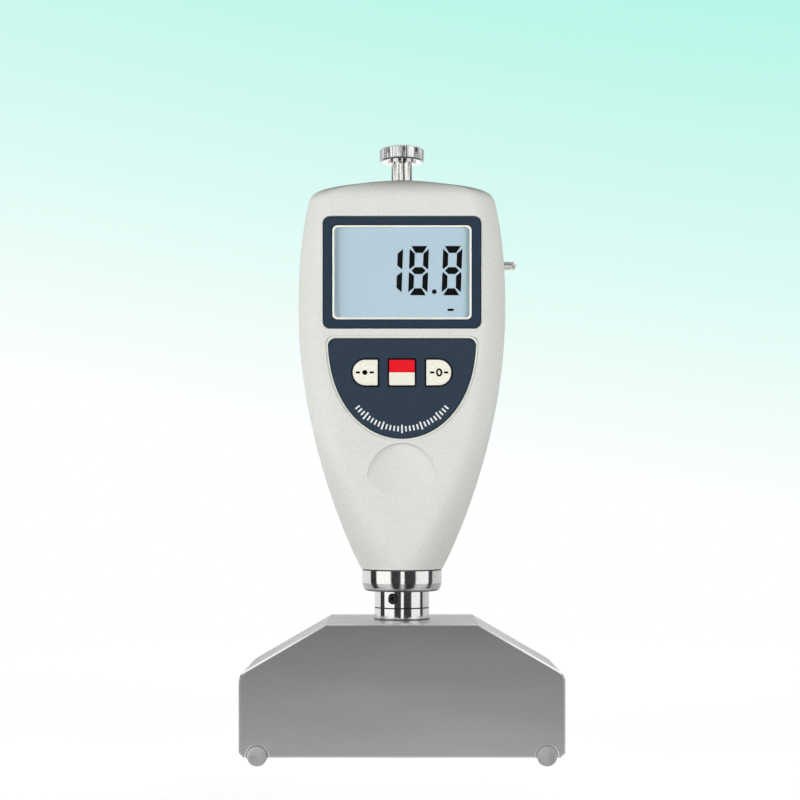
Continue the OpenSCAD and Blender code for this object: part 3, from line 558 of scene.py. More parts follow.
def polished_steel(name, tint, roughness):
    """Turned and polished steel with faint turning lines and a fine mottling."""
    mat, shader = principled(name, tint, roughness, 1.0)
    lines = noise(mat, 120, 2.0, 0.5, (0.02, 0.02, 60))
    mottle = noise(mat, 1400, 2.0, 0.6)
    rough = ramp(mat, mottle, [(0.35, roughness * 0.7), (0.7, roughness * 1.6)])
    shade = ramp(mat, lines, [(0.35, shaded(tint, 0.93)), (0.6, tint)])
    fleck = ramp(mat, mottle, [(0.35, 0.9), (0.55, 1.0)])
    paint(mat, shader, multiply(mat, shade, fleck), rough)
    bump(mat, shader, mottle, 0.003)
    return mat


def blasted_aluminium(name, painted_shade_ends, roughness):
    """Bead-blasted aluminium with a fine even grain, and painted shade from its bottom to its top."""
    mat, shader = principled(name, srgb(240, 240, 240), roughness, 1.0)
    grain = noise(mat, 2200, 3.0, 0.6)
    broad = noise(mat, 60, 3.0, 0.55, (0.3, 1, 1.6))
    # Painted shade: rise scales the colour between the levels given for the bottom and the top of the
    # block.
    rise = ramp(mat, height(mat, BLOCK_LOW.z, BLOCK_HIGH.z), [(0.0, painted_shade_ends[0]), (1.0, painted_shade_ends[1])])
    shade = ramp(mat, grain, [(0.3, srgb(232, 232, 233)), (0.7, srgb(254, 254, 255))])
    tone = ramp(mat, broad, [(0.3, 0.94), (0.7, 1.0)])
    rough = ramp(mat, broad, [(0.3, roughness * 1.1), (0.7, roughness * 0.9)])
    paint(mat, shader, multiply(mat, multiply(mat, shade, tone), rise), rough)
    bump(mat, shader, grain, 0.01)
    return mat


def cut_metal(name, tint, roughness, stretch=(1, 1, 1)):
    """Ground or drawn metal with fine marks along one direction."""
    mat, shader = principled(name, tint, roughness, 1.0)
    marks = noise(mat, 900, 4.0, 0.6, stretch)
    shade = ramp(mat, marks, [(0.3, shaded(tint, 0.9)), (0.7, tint)])
    rough = ramp(mat, marks, [(0.3, roughness * 0.8), (0.7, min(1.0, roughness * 1.3))])
    paint(mat, shader, shade, rough)
    bump(mat, shader, marks, 0.004)
    return mat


def clear_pane():
    """Clear acrylic: almost unseen, apart from its gloss."""
    mat, shader = principled("clear_pane", (0.2, 0.22, 0.24), 0.05, gloss=0.1)
    rough = ramp(mat, noise(mat, 80, 2.0, 0.5), [(0.4, 0.03), (0.6, 0.06)])
    feed(mat.node_tree, shader, {"Alpha": 0.01, "IOR": 1.49, "Roughness": rough})
    return mat


def display_film():
    """Pale blue reflective display with a very fine dot grain."""
    mat, shader = principled("display_film", srgb(184, 207, 220), 0.4, gloss=0.1)
    broad = noise(mat, 25, 1.0, 0.4)
    paint(mat, shader, ramp(mat, broad, [(0.35, srgb(185, 209, 223)), (0.65, srgb(190, 213, 226))]))
    bump(mat, shader, noise(mat, 3000, 1.0, 0.5), 0.002)
    return mat


def wound_copper():
    """Fine enamelled wire, wound in even turns."""
    wire = (0.75, 0.27, 0.10)
    mat, shader = principled("wound_copper", wire, 0.3, 1.0)
    coords = add(mat.node_tree, "ShaderNodeTexCoord")
    inputs = {"Vector": coords.outputs["Object"], "Scale": 1400}
    turns = add(mat.node_tree, "ShaderNodeTexWave", inputs, bands_direction="Z").outputs["Fac"]
    # Painted shade: the colour darkens between the turns, in the grooves of the winding.
    paint(mat, shader, ramp(mat, turns, [(0.0, (0.35, 0.10, 0.03)), (0.5, wire)]))
    bump(mat, shader, turns, 0.05)
    return mat


PLASTIC = housing_plastic()
NAVY = film("window_navy", srgb(42, 57, 73), 0.4)
# The darker navy is painted shade, for the edges of the window frame.
NAVY_SHADED_EDGE = film("window_navy_shaded_edge", srgb(22, 30, 44), 0.35)
LABEL_NAVY = film("label_navy", srgb(48, 61, 76), 0.45)
LABEL_EDGE = film("label_navy_edge", srgb(26, 36, 54), 0.45)
LABEL_RIM = film("label_rim", srgb(232, 234, 222), 0.45)
KEY_RING = film("key_ring", srgb(12, 14, 24), 0.5, gloss=0.1)
PRINT_CREAM = film("print_cream", srgb(255, 255, 240), 0.45, gloss=0.5)
PRINT_WHITE = film("print_white", srgb(238, 240, 240), 0.45)
KEY_CREAM = moulded("key_cream", srgb(248, 245, 230), 0.4)
KEY_SPLIT = split_key()
INK = film("display_ink", srgb(10, 9, 12), 0.4, gloss=0.05)
DISPLAY = display_film()
PANE = clear_pane()
STEEL = polished_steel("polished_steel", (1.0, 1.0, 0.98), 0.07)
KNURLED = polished_steel("knurled_steel", (0.98, 0.99, 0.99), 0.08)
SATIN = polished_steel("satin_steel", (0.98, 0.97, 0.94), 0.2)
# Painted shade on the block: the sides darken towards the top, the slants towards the bottom; the top is
# even.
BLOCK = blasted_aluminium("blasted_aluminium", (1.0, 0.52), 0.42)
BLOCK_TOP = blasted_aluminium("blasted_aluminium_top", (1.0, 1.0), 0.28)
BLOCK_SLANT = blasted_aluminium("blasted_aluminium_slant", (0.0, 0.85), 0.28)
BRIGHT_EDGE = cut_metal("bright_edge", (1.0, 1.0, 1.0), 0.36)
SLANT_EDGE = cut_metal("slant_edge", (1.0, 1.0, 1.0), 0.25)
ROD = cut_metal("ground_rod", (1.0, 1.0, 1.0), 0.42, (1, 0.05, 1))
# DARK_STEEL is the grub screw's black finish and also painted shade on the collar. The two shaded steels
# are painted shade only, on the collar, the neck joint and the adapter's foot.
DARK_STEEL = cut_metal("blackened_steel_and_painted_shade", (0.05, 0.05, 0.055), 0.35)
SHADED_STEEL_DEEP = cut_metal("steel_painted_deep_shade", (0.22, 0.22, 0.22), 0.3)
SHADED_STEEL_MILD = cut_metal("steel_painted_mild_shade", (0.6, 0.6, 0.6), 0.16)
SCREW = cut_metal("zinc_screw", (0.55, 0.56, 0.57), 0.3)


def dress(name, mat):
    """Gives a CAD node its finish."""
    mesh = nodes[name].data
    mesh.materials.clear()
    mesh.materials.append(mat)


def dress_inner_nodes():
    finishes = {
        ("lcd_frame",): moulded("carrier_white", srgb(232, 234, 234), 0.45),
        ("circuit_board",): film("solder_mask", srgb(24, 98, 52), 0.35),
        ("key_switches", "board_chips"): moulded("moulded_black", srgb(38, 38, 40), 0.4),
        ("battery_cells",): film("cell_sleeve", srgb(58, 76, 112), 0.3),
        ("battery_contacts", "battery_springs"): cut_metal("nickel", (0.7, 0.69, 0.66), 0.22),
        ("battery_lead",): moulded("lead_red", srgb(170, 42, 40), 0.45),
        ("sensor_lead",): moulded("lead_blue", srgb(52, 96, 160), 0.45),
        ("upper_bush", "lower_bush"): cut_metal("bronze", (0.62, 0.40, 0.16), 0.4),
        ("measuring_spring",): cut_metal("spring_wire", (0.42, 0.43, 0.45), 0.3),
        ("measuring_spindle", "measuring_foot", "foot_lock_nut", "spring_seat", "spring_plug"):
            cut_metal("turned_steel", (0.6, 0.6, 0.6), 0.25, (1, 1, 8)),
        ("sensor_core",): cut_metal("ferrite", (0.09, 0.09, 0.1), 0.6),
        ("coil_bobbin",): moulded("bobbin_nylon", srgb(226, 220, 200), 0.45),
        ("coil_winding",): wound_copper(),
        ("board_screws",): SCREW,
        ("lcd_panel",): DISPLAY,
        ("display_lens",): PANE,
    }
    for names, mat in finishes.items():
        for name in names:
            dress(name, mat)


def finish_piece(obj, slot, node, *finishes):
    """Gives a piece its finishes and hides the node that it stands for, if any. The slot is not used."""
    obj.data.materials.clear()
    for mat in finishes:
        obj.data.materials.append(mat)
    if node:
        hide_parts(node)


def finish_print(obj, slot, mat):
    """Finishes a thin layer of print, which stands for no node."""
    settle(obj)
    finish_piece(obj, slot, None, mat)


# Housing shells

KEY_SIZE = 7.7
KEY_PITCH = 11
KEY_GAP = 0.2
KEY_Z = (KEY_LOW.z + KEY_HIGH.z) / 2
STRAP_CENTRE = (0, (STRAP_LOW.y + STRAP_HIGH.y) / 2, (STRAP_LOW.z + STRAP_HIGH.z) / 2)
WINDOW_Z = (BEZEL_LOW.z + BEZEL_HIGH.z) / 2
WINDOW_W = 42
WINDOW_H = 28.4
BEZEL_W = BEZEL_HIGH.x - BEZEL_LOW.x
BEZEL_H = BEZEL_HIGH.z - BEZEL_LOW.z
BEZEL_CORNER = 2.1
NECK_R = 8.55
POST_R = 3.2
STRAP_ROOT_R = 1.05


def key_outline(side, grow=0.0):
    size = KEY_SIZE + 2 * grow
    if side == 0:
        return round_rect(0, KEY_Z, size, size, 0.35, 4)
    return d_shape(side * KEY_PITCH, KEY_Z, size, side)


def key_outlines(grow):
    return [key_outline(side, grow) for side in (-1, 0, 1)]


def shell_room(side):
    """The space inside a half, a little past the parting plane."""
    return half_solid("room", side, WALL, -side, arc=6, across=2, rings=(16, 10, 8, 4))


def finish_shell(obj, node, angle):
    """Opens a half for the barrel in its floor and for the post in its crown, and finishes it."""
    mouth = rod("mouth_hole", NECK_R + SET_GAP, BASE_Z - 1, BASE_Z + FLOOR + 1, 96)
    post = rod("post_hole", POST_R + SET_GAP, CROWN_Z - WALL - 2, CROWN_Z + 1, 96)
    cut(obj, joined("ends", [mouth, post]))
    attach(obj, "meter_body")
    settle(obj, 0.14, angle=angle, sharp=28)
    finish_piece(obj, "housing_plastic", node, PLASTIC)


DISH_Z = BASE_Z + 27.9
DISH_R = 10.6
DISH_DEPTH = 1.2


def thumb_dish():
    """Shallow bowl, square to the sloping front."""
    sphere_r = (DISH_R ** 2 + DISH_DEPTH ** 2) / (2 * DISH_DEPTH)
    profile = [(0, -3), (DISH_R, -3)]
    for i in range(17):
        r = DISH_R * (1 - i / 16)
        profile.append((r, DISH_DEPTH - sphere_r + math.sqrt(sphere_r ** 2 - r * r)))
    lean = math.atan(2 * (HALF_D - MOUTH_R) * taper(DISH_Z) / (FLAT_Z - BASE_Z))
    turn = Matrix.Rotation(-lean, 4, "X") @ TO_Y
    return lathe("dish", profile, None, 96, turn, (0, -half_depth(DISH_Z), DISH_Z))


def make_front_shell():
    obj = half_solid("front_shell_skin", -1)
    merge_flat(obj, -HALF_D, FLAT_Z + 0.5)
    out = -HALF_D - 1
    deep = -HALF_D + WALL + 1
    bezel = round_rect(0, WINDOW_Z, BEZEL_W + 2 * SET_GAP, BEZEL_H + 2 * SET_GAP, BEZEL_CORNER + SET_GAP)
    recesses = [
        prism_y("bezel_recess", bezel, out, BEZEL_HIGH.y),
        prism_y("label_recess", label_outline(SET_GAP), out, LABEL_HIGH.y),
    ]
    glass_w = LCD_HIGH.x - LCD_LOW.x + 2 * KEY_GAP
    glass_h = LCD_HIGH.z - LCD_LOW.z + 2 * KEY_GAP
    glass = round_rect(0, WINDOW_Z, glass_w, glass_h, 0.4, 4)
    openings = plates([glass] + key_outlines(KEY_GAP), out, deep)
    cut(obj, shell_room(-1), thumb_dish(), joined("recesses", recesses), openings)
    finish_shell(obj, "front_shell", 30)


SHELL_SCREWS = [(s * x, z) for s in (-1, 1) for x, z in ((21.5, CROWN_Z - 7.3), (14.5, BASE_Z + 29.4))]
BOSS_R = 3.6
HEAD_Y = 11
HEAD_R = 2.4
SCREW_R = 1.4
DOOR_W = 45.6
DOOR_T = 2.0
DOOR_Y = HALF_D - DOOR_T
DOOR_LOW_Z = CASE_LOW.z - 1
DOOR_HIGH_Z = CASE_HIGH.z + 1
CASE_W = 43.6
CASE_FLOOR_Y = 4.2
CASE_WALL = 1.5
CASE_FOOT = 2.4
HINGE_R = 1.6
HINGE_Y = HALF_D - HINGE_R - 0.05
HINGE_Z = DOOR_LOW_Z + HINGE_R
HINGE = (0, HINGE_Y, HINGE_Z)
TRUNNION_R = 0.9
TRUNNION_X = DOOR_W / 2 + 1.2
EAR_R = 2.4
EAR_WALL = 0.9


def make_rear_shell():
    obj = half_solid("rear_shell_skin", 1, across=2)
    merge_flat(obj, HALF_D, FLAT_Z + 0.5)
    cut(obj, shell_room(1))
    out = HALF_D + 1
    inside = HALF_D - WALL / 2
    case_x = CASE_W / 2
    foot_z = CASE_LOW.z - CASE_FOOT
    case = box_between(
        "case_block",
        (-case_x - CASE_WALL, CASE_FLOOR_Y - CASE_WALL, foot_z),
        (case_x + CASE_WALL, inside, CASE_HIGH.z + CASE_WALL),
    )
    ears = []
    for s in (-1, 1):
        x0, x1 = sorted((s * case_x, s * (TRUNNION_X + EAR_WALL)))
        ears.append(box_between("hinge_ear", (x0, HINGE_Y - EAR_R, foot_z), (x1, inside, HINGE_Z + EAR_R)))
    bosses = plates([circle(x, z, BOSS_R) for x, z in SHELL_SCREWS], 0.0, HALF_D - WALL)
    unite(obj, case, joined("ears", ears), bosses)
    door_x = DOOR_W / 2 + SET_GAP
    recess = box_between(
        "door_recess",
        (-door_x, DOOR_Y, DOOR_LOW_Z - SET_GAP),
        (door_x, out, DOOR_HIGH_Z + SET_GAP),
    )
    room = box_between("case_room", (-case_x, CASE_FLOOR_Y, CASE_LOW.z), (case_x, out, CASE_HIGH.z))
    notch = prism_y("notch", circle(0, DOOR_HIGH_Z, 5), HALF_D - 1, out)
    groove = rod("hinge_groove", HINGE_R + AIR, -door_x, door_x, 64, TO_X, HINGE)
    pivot = rod("pivot_holes", TRUNNION_R + RUN_GAP, -TRUNNION_X - AIR, TRUNNION_X + AIR, 48, TO_X, HINGE)
    heads = plates([circle(x, z, HEAD_R + 0.2) for x, z in SHELL_SCREWS], HEAD_Y, out)
    shanks = plates([circle(x, z, SCREW_R + 0.15, 32) for x, z in SHELL_SCREWS], -1, HEAD_Y + 1)
    strap = rod("strap_hole", STRAP_ROOT_R + SEAT_GAP, 0, HALF_W, 48, TO_X, STRAP_CENTRE)
    cut(obj, recess, room, notch, groove, pivot, heads, shanks, strap)
    finish_shell(obj, "rear_shell", 40)


def make_battery_door():
    """Leaf with a round foot on two trunnions, a tongue and finger ribs at its head."""
    lug = 2.6
    half = DOOR_W / 2
    tongue_top = CASE_HIGH.z - 0.3 - AIR
    obj = box_between("battery_door_leaf", (-half, DOOR_Y, HINGE_Z), (half, HALF_D, DOOR_HIGH_Z))
    foot = rod("foot", HINGE_R, -half, half, 64, TO_X, HINGE)
    gap = box_between("gap", (-half + lug, DOOR_Y - 3, DOOR_LOW_Z - 1), (half - lug, DOOR_Y, HINGE_Z + 3))
    unite(obj, cut(foot, gap))
    for s in (-1, 1):
        ends = sorted((s * (half - lug / 2), s * TRUNNION_X))
        unite(obj, rod("trunnion", TRUNNION_R, ends[0], ends[1], 48, TO_X, HINGE))
    unite(obj, box_between("tongue", (-5, DOOR_Y - 2.6, tongue_top - 0.7), (5, DOOR_Y + 1, tongue_top)))
    ribs = [round_rect(0, DOOR_HIGH_Z - 7.5 - 2 * i, 16, 1, 0.45, 4) for i in range(5)]
    unite(obj, plates(ribs, HALF_D - 0.5, HALF_D + 0.5))
    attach(obj, "battery_door")
    settle(obj, 0.18, angle=50, segments=3, sharp=30)
    finish_piece(obj, "housing_plastic", "battery_door", PLASTIC)


def make_housing_screws():
    """Pan-head screws with a cross recess."""
    profile = [
        (0, HEAD_Y - 20), (SCREW_R - 0.5, HEAD_Y - 20), (SCREW_R, HEAD_Y - 19), (SCREW_R, HEAD_Y),
        (HEAD_R, HEAD_Y), (HEAD_R, HEAD_Y + 0.8), (HEAD_R - 0.25, HEAD_Y + 1.3),
        (HEAD_R - 0.9, HEAD_Y + 1.68), (0.8, HEAD_Y + 1.8), (0, HEAD_Y + 1.8),
    ]
    screws = []
    for x, z in SHELL_SCREWS:
        screw = lathe("screw", profile, None, 48, TO_Y, (x, 0, z))
        low, high = HEAD_Y + 0.9, HEAD_Y + 2
        across = box_between("slot", (x - 1.5, low, z - 0.28), (x + 1.5, high, z + 0.28))
        upright = box_between("slot", (x - 0.28, low, z - 1.5), (x + 0.28, high, z + 1.5))
        screws.append(cut(screw, unite(across, upright)))
    obj = joined("housing_screws_turned", screws, "meter_body")
    settle(obj, 0.05, angle=50, sharp=35)
    finish_piece(obj, "screw_steel", "housing_screws", SCREW)


# Display

def make_bezel():
    outer = round_rect(0, WINDOW_Z, BEZEL_W, BEZEL_H, BEZEL_CORNER)
    inner = round_rect(0, WINDOW_Z, WINDOW_W, WINDOW_H, 1.5)
    obj = ring_prism("window_frame", outer, inner, BEZEL_LOW.y, BEZEL_HIGH.y, "meter_body")
    settle(obj, 0.24, segments=3)
    finish_piece(obj, "window_navy", "display_bezel", NAVY, NAVY_SHADED_EDGE)
    # Painted shade: faces that don't look straight along Y, the sides and edge bevels, get the darker
    # navy.
    for face in obj.data.polygons:
        face.material_index = 0 if abs(face.normal.y) > 0.99 else 1


LINE_W = 0.6
PRINT_T = 0.03


def make_window_line():
    """Cream line printed round the edge of the clear window."""
    outer = round_rect(0, WINDOW_Z, WINDOW_W - 0.1, WINDOW_H - 0.1, 1.45)
    inner = round_rect(0, WINDOW_Z, WINDOW_W - 2 * LINE_W, WINDOW_H - 2 * LINE_W, 1.2)
    obj = ring_prism("window_line", outer, inner, LENS_LOW.y - PRINT_T, LENS_LOW.y + PRINT_T, "meter_body")
    finish_print(obj, "window_navy", PRINT_CREAM)


DIGIT_W = 5.8
DIGIT_H = 14.9
DIGIT_Z = 141.8
STROKE_W = 1.6
STROKE_H = 2.1
DIGIT_SLANT = 0.034


def segment(letter):
    """Outline of one bar of a seven-bar digit, from the digit's lower left corner."""
    mid = DIGIT_H / 2
    gap = 0.22
    if letter == "g":
        x0, x1, z0, z1 = STROKE_W + gap, DIGIT_W - STROKE_W - gap, mid - STROKE_H / 2, mid + STROKE_H / 2
        return [(0.75, mid), (x0, z1), (x1, z1), (DIGIT_W - 0.75, mid), (x1, z0), (x0, z0)]
    if letter in "ad":
        bar = [(gap + 0.25, 0), (DIGIT_W - gap - 0.25, 0),
               (DIGIT_W - STROKE_W - gap, STROKE_H), (STROKE_W + gap, STROKE_H)]
        return [(x, DIGIT_H - z) for x, z in bar] if letter == "a" else bar
    bar = [(0, 0.9), (STROKE_W, STROKE_H + gap), (STROKE_W, mid - 1.6), (0.25, mid - 0.45), (0, mid - 0.7)]
    if letter in "bc":
        bar = [(DIGIT_W - x, z) for x, z in bar]
    if letter in "bf":
        bar = [(x, DIGIT_H - z) for x, z in bar]
    return bar


def make_reading():
    """Raised ink of the reading: slanted seven-bar digits, a point and a unit bar."""
    outlines = []
    for x0, letters in ((-5.95, "bc"), (1.85, "abcdefg"), (11.95, "abcdefg")):
        for letter in letters:
            outlines.append([(x0 + x + DIGIT_SLANT * z, DIGIT_Z + z) for x, z in segment(letter)])
    outlines.append(circle(9.75, DIGIT_Z + 1.1, 0.72, 32))
    outlines.append(round_rect(14.7, 137.4, 1.9, 0.7, 0.15, 2))
    obj = plates(outlines, LCD_LOW.y - PRINT_T, LCD_LOW.y + PRINT_T, "display_reading", "meter_body")
    finish_print(obj, "display_glass", INK)


# Keypad

RIM_W = 0.5
EDGE_W = 0.28
KEY_RING_W = 0.5


def with_key_holes(obj):
    return cut(obj, plates(key_outlines(KEY_GAP), LABEL_LOW.y - 1, LABEL_HIGH.y + 1))


def make_label():
    """Pale film with a navy print that leaves a rim, and dark rings round the keys."""
    face = LABEL_LOW.y
    low, high = face - PRINT_T, face + PRINT_T
    plate = prism_y("keypad_label_film", label_outline(), face, LABEL_HIGH.y, "meter_body")
    settle(with_key_holes(plate), 0.06, segments=1)
    finish_piece(plate, "label_navy", "keypad_label", LABEL_RIM)
    inner = label_outline(-RIM_W - EDGE_W)
    navy = with_key_holes(prism_y("label_print", inner, low, high, "meter_body"))
    finish_print(navy, "label_navy", LABEL_NAVY)
    edge = ring_prism("label_print_edge", label_outline(-RIM_W), inner, low, high, "meter_body")
    finish_print(edge, "label_navy", LABEL_EDGE)
    # Painted shade: the dark rings reach into the gap round each key and fill it as a dark sheet in place
    # of its shade; on the label face they are print.
    rings = [
        ring_prism("ring", outer, hole, face - 2 * PRINT_T, face + 0.2)
        for outer, hole in zip(key_outlines(KEY_RING_W), key_outlines(0.08))
    ]
    finish_print(joined("key_rings", rings, "meter_body"), "label_navy", KEY_RING)


SCALE_R = 17.0
SCALE_HALF = 52
SCALE_TICKS = 27
TICK_W = 0.5


def make_scale():
    """Plain graduation printed along the lower edge of the label."""
    ticks = []
    for i in range(SCALE_TICKS):
        a = math.radians(-90 - SCALE_HALF + 2 * SCALE_HALF * i / (SCALE_TICKS - 1))
        half = 1.25 if i % 5 == 3 else 0.8
        ray = (math.cos(a), math.sin(a))
        side = (-ray[1] * TICK_W / 2, ray[0] * TICK_W / 2)
        ends = [(SCALE_R - half, -1), (SCALE_R + half, -1), (SCALE_R + half, 1), (SCALE_R - half, 1)]
        ticks.append([(r * ray[0] + s * side[0], KEY_Z + r * ray[1] + s * side[1]) for r, s in ends])
    obj = plates(ticks, LABEL_LOW.y - 2 * PRINT_T, LABEL_LOW.y, "label_scale", "meter_body")
    finish_print(obj, "label_navy", PRINT_WHITE)


def make_key(name, side, mat, slot):
    """Key cap with rounded edges on its flange and plunger. Each key has a body of its own name."""
    low, high = box(name)
    cx = side * KEY_PITCH
    flange_y = -HALF_D + WALL + AIR
    obj = prism_y(name + "_cap", key_outline(side), low.y, flange_y + 0.4)
    flange_outline = round_rect(cx, KEY_Z, KEY_SIZE + 1.6, KEY_SIZE + 1.6, 0.3, 2)
    flange = prism_y("flange", flange_outline, flange_y, flange_y + 0.8)
    plunger = prism_y("plunger", circle(cx, KEY_Z, 1.5), flange_y + 0.4, high.y)
    unite(obj, flange, plunger)
    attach(obj, name)
    settle(obj, 0.18, segments=3)
    finish_piece(obj, slot, name, mat)


def make_key_marks():
    """Printed marks of the outer keys: a dot and a nought, each between two short bars."""
    for name, side in (("left_key", -1), ("right_key", 1)):
        face = box(name)[0].y
        low, high = face - PRINT_T, face + PRINT_T
        cx = side * (KEY_PITCH + 0.2)
        bars = [round_rect(cx + s * 2.1, KEY_Z, 1.3, 0.6, 0.1, 2) for s in (-1, 1)]
        if name == "left_key":
            sign = prism_y("dot", circle(cx, KEY_Z, 0.75), low, high)
        else:
            outer = ellipse(cx, KEY_Z, 0.95, 1.25)
            sign = ring_prism("nought", outer, ellipse(cx, KEY_Z, 0.42, 0.72), low, high)
        marks = joined(name + "_mark", [plates(bars, low, high), sign], name)
        finish_print(marks, "label_navy", INK)


# Turned metal

RELIEF_H = 0.3
SPIGOT_R = 6.5
GROOVE_R = SPIGOT_R - 0.9
STUB_R = 6.0
SPINDLE_HOLE_R = 2.6
BUSH_HOLE_R = 4.02


def make_collar():
    """Collar with a tapered foot and a relief groove under the housing; groove, underside and foot carry
    painted shade.
    """
    r = (COLLAR_HIGH.x - COLLAR_LOW.x) / 2
    low, high = COLLAR_LOW.z, COLLAR_HIGH.z
    bore = NECK_R + SEAT_GAP
    top = high - RELIEF_H
    profile = [
        (bore, low), (r - 1.5, low), (r - 1.0, low + 0.22), (r - 0.66, low + 0.6), (r - 0.4, low + 1.1),
        (r - 0.2, low + 1.8), (r - 0.07, low + 2.5), (r, low + 3.3),
        (r, top - 0.12), (r - 0.12, top), (r - 0.7, top), (r - 0.7, high), (bore, high),
    ]
    obj = lathe("collar_turned", profile, "meter_body", 160)
    settle(obj, sharp=12)
    finish_piece(obj, "polished_steel", "collar", STEEL, DARK_STEEL, SHADED_STEEL_DEEP, SHADED_STEEL_MILD)
    # Painted shade: the relief groove and the underside get the darkest steel, the downward faces of the
    # foot a deep or mild shaded steel.
    for face in obj.data.polygons:
        if face.center.z > (top - 0.01) * MM or face.normal.z < -0.9:
            face.material_index = 1
        elif face.normal.z < -0.6:
            face.material_index = 2
        elif face.normal.z < -0.1:
            face.material_index = 3


JOINT_Z = BARREL_LOW.z
GRUB_ANGLE = 20
GRUB_R = 1.3
GRUB_Z = JOINT_Z + 3
GRUB_CENTRE = (0, 0, GRUB_Z)
GRUB_TURN = Matrix.Rotation(math.radians(-GRUB_ANGLE), 4, "Z") @ Matrix.Rotation(math.radians(90), 4, "X")


def make_barrel():
    """Barrel whose lower end is the neck, with a flange that rests on the housing's floor."""
    flange_z = BASE_Z + FLOOR + AIR
    flange_r = 10.4
    socket_r = SPIGOT_R + RUN_GAP
    tube_r = 7.0
    bush_z = JOINT_Z + 5.2
    chamber_r = 5.2
    chamber_z = bush_z + 8.4
    profile = [
        (socket_r, JOINT_Z), (NECK_R - 0.2, JOINT_Z), (NECK_R, JOINT_Z + 0.2), (NECK_R, flange_z),
        (flange_r, flange_z), (flange_r, flange_z + 2), (tube_r, flange_z + 2), (tube_r, BARREL_HIGH.z),
        (chamber_r, BARREL_HIGH.z), (chamber_r, chamber_z), (SPINDLE_HOLE_R, chamber_z),
        (SPINDLE_HOLE_R, chamber_z - 2), (BUSH_HOLE_R, chamber_z - 2), (BUSH_HOLE_R, bush_z),
        (socket_r, bush_z),
    ]
    obj = lathe("barrel_turned", profile, "meter_body", 160)
    hole_r = GRUB_R + SEAT_GAP
    mouth_r = GRUB_R + 0.45
    hole = [
        (0, 2), (hole_r, 2), (hole_r, NECK_R - 0.55),
        (mouth_r, NECK_R + 0.05), (mouth_r, NECK_R + 2), (0, NECK_R + 2),
    ]
    cut(obj, lathe("grub_hole", hole, None, 48, GRUB_TURN, GRUB_CENTRE))
    settle(obj, sharp=20)
    finish_piece(obj, "polished_steel", "sensor_barrel", STEEL, SHADED_STEEL_DEEP)
    darken_joint(obj)


def darken_joint(obj, rim=0):
    """Gives the bevels at the joint, and all up to the height of a rim, a darker steel as painted shade.
    """
    for face in obj.data.polygons:
        at_joint = abs(face.center.z - JOINT_Z * MM) < 0.25 * MM and abs(face.normal.z) > 0.4
        if at_joint or face.center.z < rim * MM:
            face.material_index = 1


def make_grub_screw():
    tip = GROOVE_R + AIR
    end = NECK_R - 0.3
    profile = [
        (0, tip), (GRUB_R - 0.4, tip), (GRUB_R, tip + 0.4), (GRUB_R, end - 0.15),
        (GRUB_R - 0.15, end), (0, end),
    ]
    obj = lathe("grub_screw_turned", profile, None, 48, GRUB_TURN, GRUB_CENTRE)
    cut(obj, rod("socket", 0.75, end - 1, end + 1, 6, GRUB_TURN, GRUB_CENTRE))
    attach(obj, "meter_body")
    settle(obj, sharp=25)
    finish_piece(obj, "dark_steel", "grub_screw", DARK_STEEL)


def make_adapter():
    """Seat on the block, with a stub down into it and a grooved spigot up into the barrel."""
    seat = BLOCK_HIGH.z
    low, top, high = ADAPTER_LOW.z, JOINT_Z, ADAPTER_HIGH.z
    foot_r = NECK_R + 0.15
    groove_half = GRUB_R + 0.2
    g0, g1 = GRUB_Z - groove_half, GRUB_Z + groove_half
    profile = [
        (SPINDLE_HOLE_R, low), (STUB_R, low), (STUB_R, seat), (foot_r, seat), (foot_r, seat + 0.4),
        (NECK_R, seat + 0.5), (NECK_R, top - 0.2), (NECK_R - 0.2, top), (SPIGOT_R, top),
        (SPIGOT_R, g0), (GROOVE_R, g0), (GROOVE_R, g1), (SPIGOT_R, g1),
        (SPIGOT_R, high - 0.2), (SPIGOT_R - 0.2, high), (SPINDLE_HOLE_R, high),
    ]
    obj = lathe("adapter_turned", profile, "meter_body", 160)
    settle(obj, sharp=20)
    finish_piece(obj, "polished_steel", "neck_adapter", STEEL, SHADED_STEEL_DEEP)
    darken_joint(obj, seat + 0.5)


def make_stand_post():
    low, high = POST_LOW.z, POST_HIGH.z
    profile = [(0, low), (POST_R, low), (POST_R, high - 0.5), (POST_R - 0.5, high), (0, high)]
    obj = lathe("stand_post_turned", profile, None, 128)
    half = POST_HIGH.x
    top = CROWN_Z - WALL - 0.5
    unite(obj, box_between("post_flange", (-half, -half, top - 1.8), (half, half, top)))
    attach(obj, "meter_body")
    settle(obj, sharp=20)
    finish_piece(obj, "polished_steel", "stand_post", STEEL)


def make_washer():
    r = WASHER_HIGH.x
    low, high = WASHER_LOW.z, WASHER_HIGH.z
    profile = [
        (POST_R + RUN_GAP, low), (r - 0.1, low), (r, low + 0.1), (r, high - 0.1),
        (r - 0.1, high), (POST_R + RUN_GAP, high),
    ]
    obj = lathe("washer_turned", profile, "clamp_washer", 96)
    settle(obj, sharp=20)
    finish_piece(obj, "polished_steel", "clamp_washer", STEEL)


KNOB_RIDGES = 44
RIDGE_DEPTH = 0.4
RIDGE_FLAT = 0.76


def knurl(r, a):
    """Straight knurling: flat ridges with narrow valleys between them on the rim of the knob."""
    if r < KNOB_HIGH.x - 1:
        return r
    across = abs((a * KNOB_RIDGES / (2 * math.pi)) % 1 - 0.5) * 2
    return r - RIDGE_DEPTH * max(0.0, (across - RIDGE_FLAT) / (1 - RIDGE_FLAT))


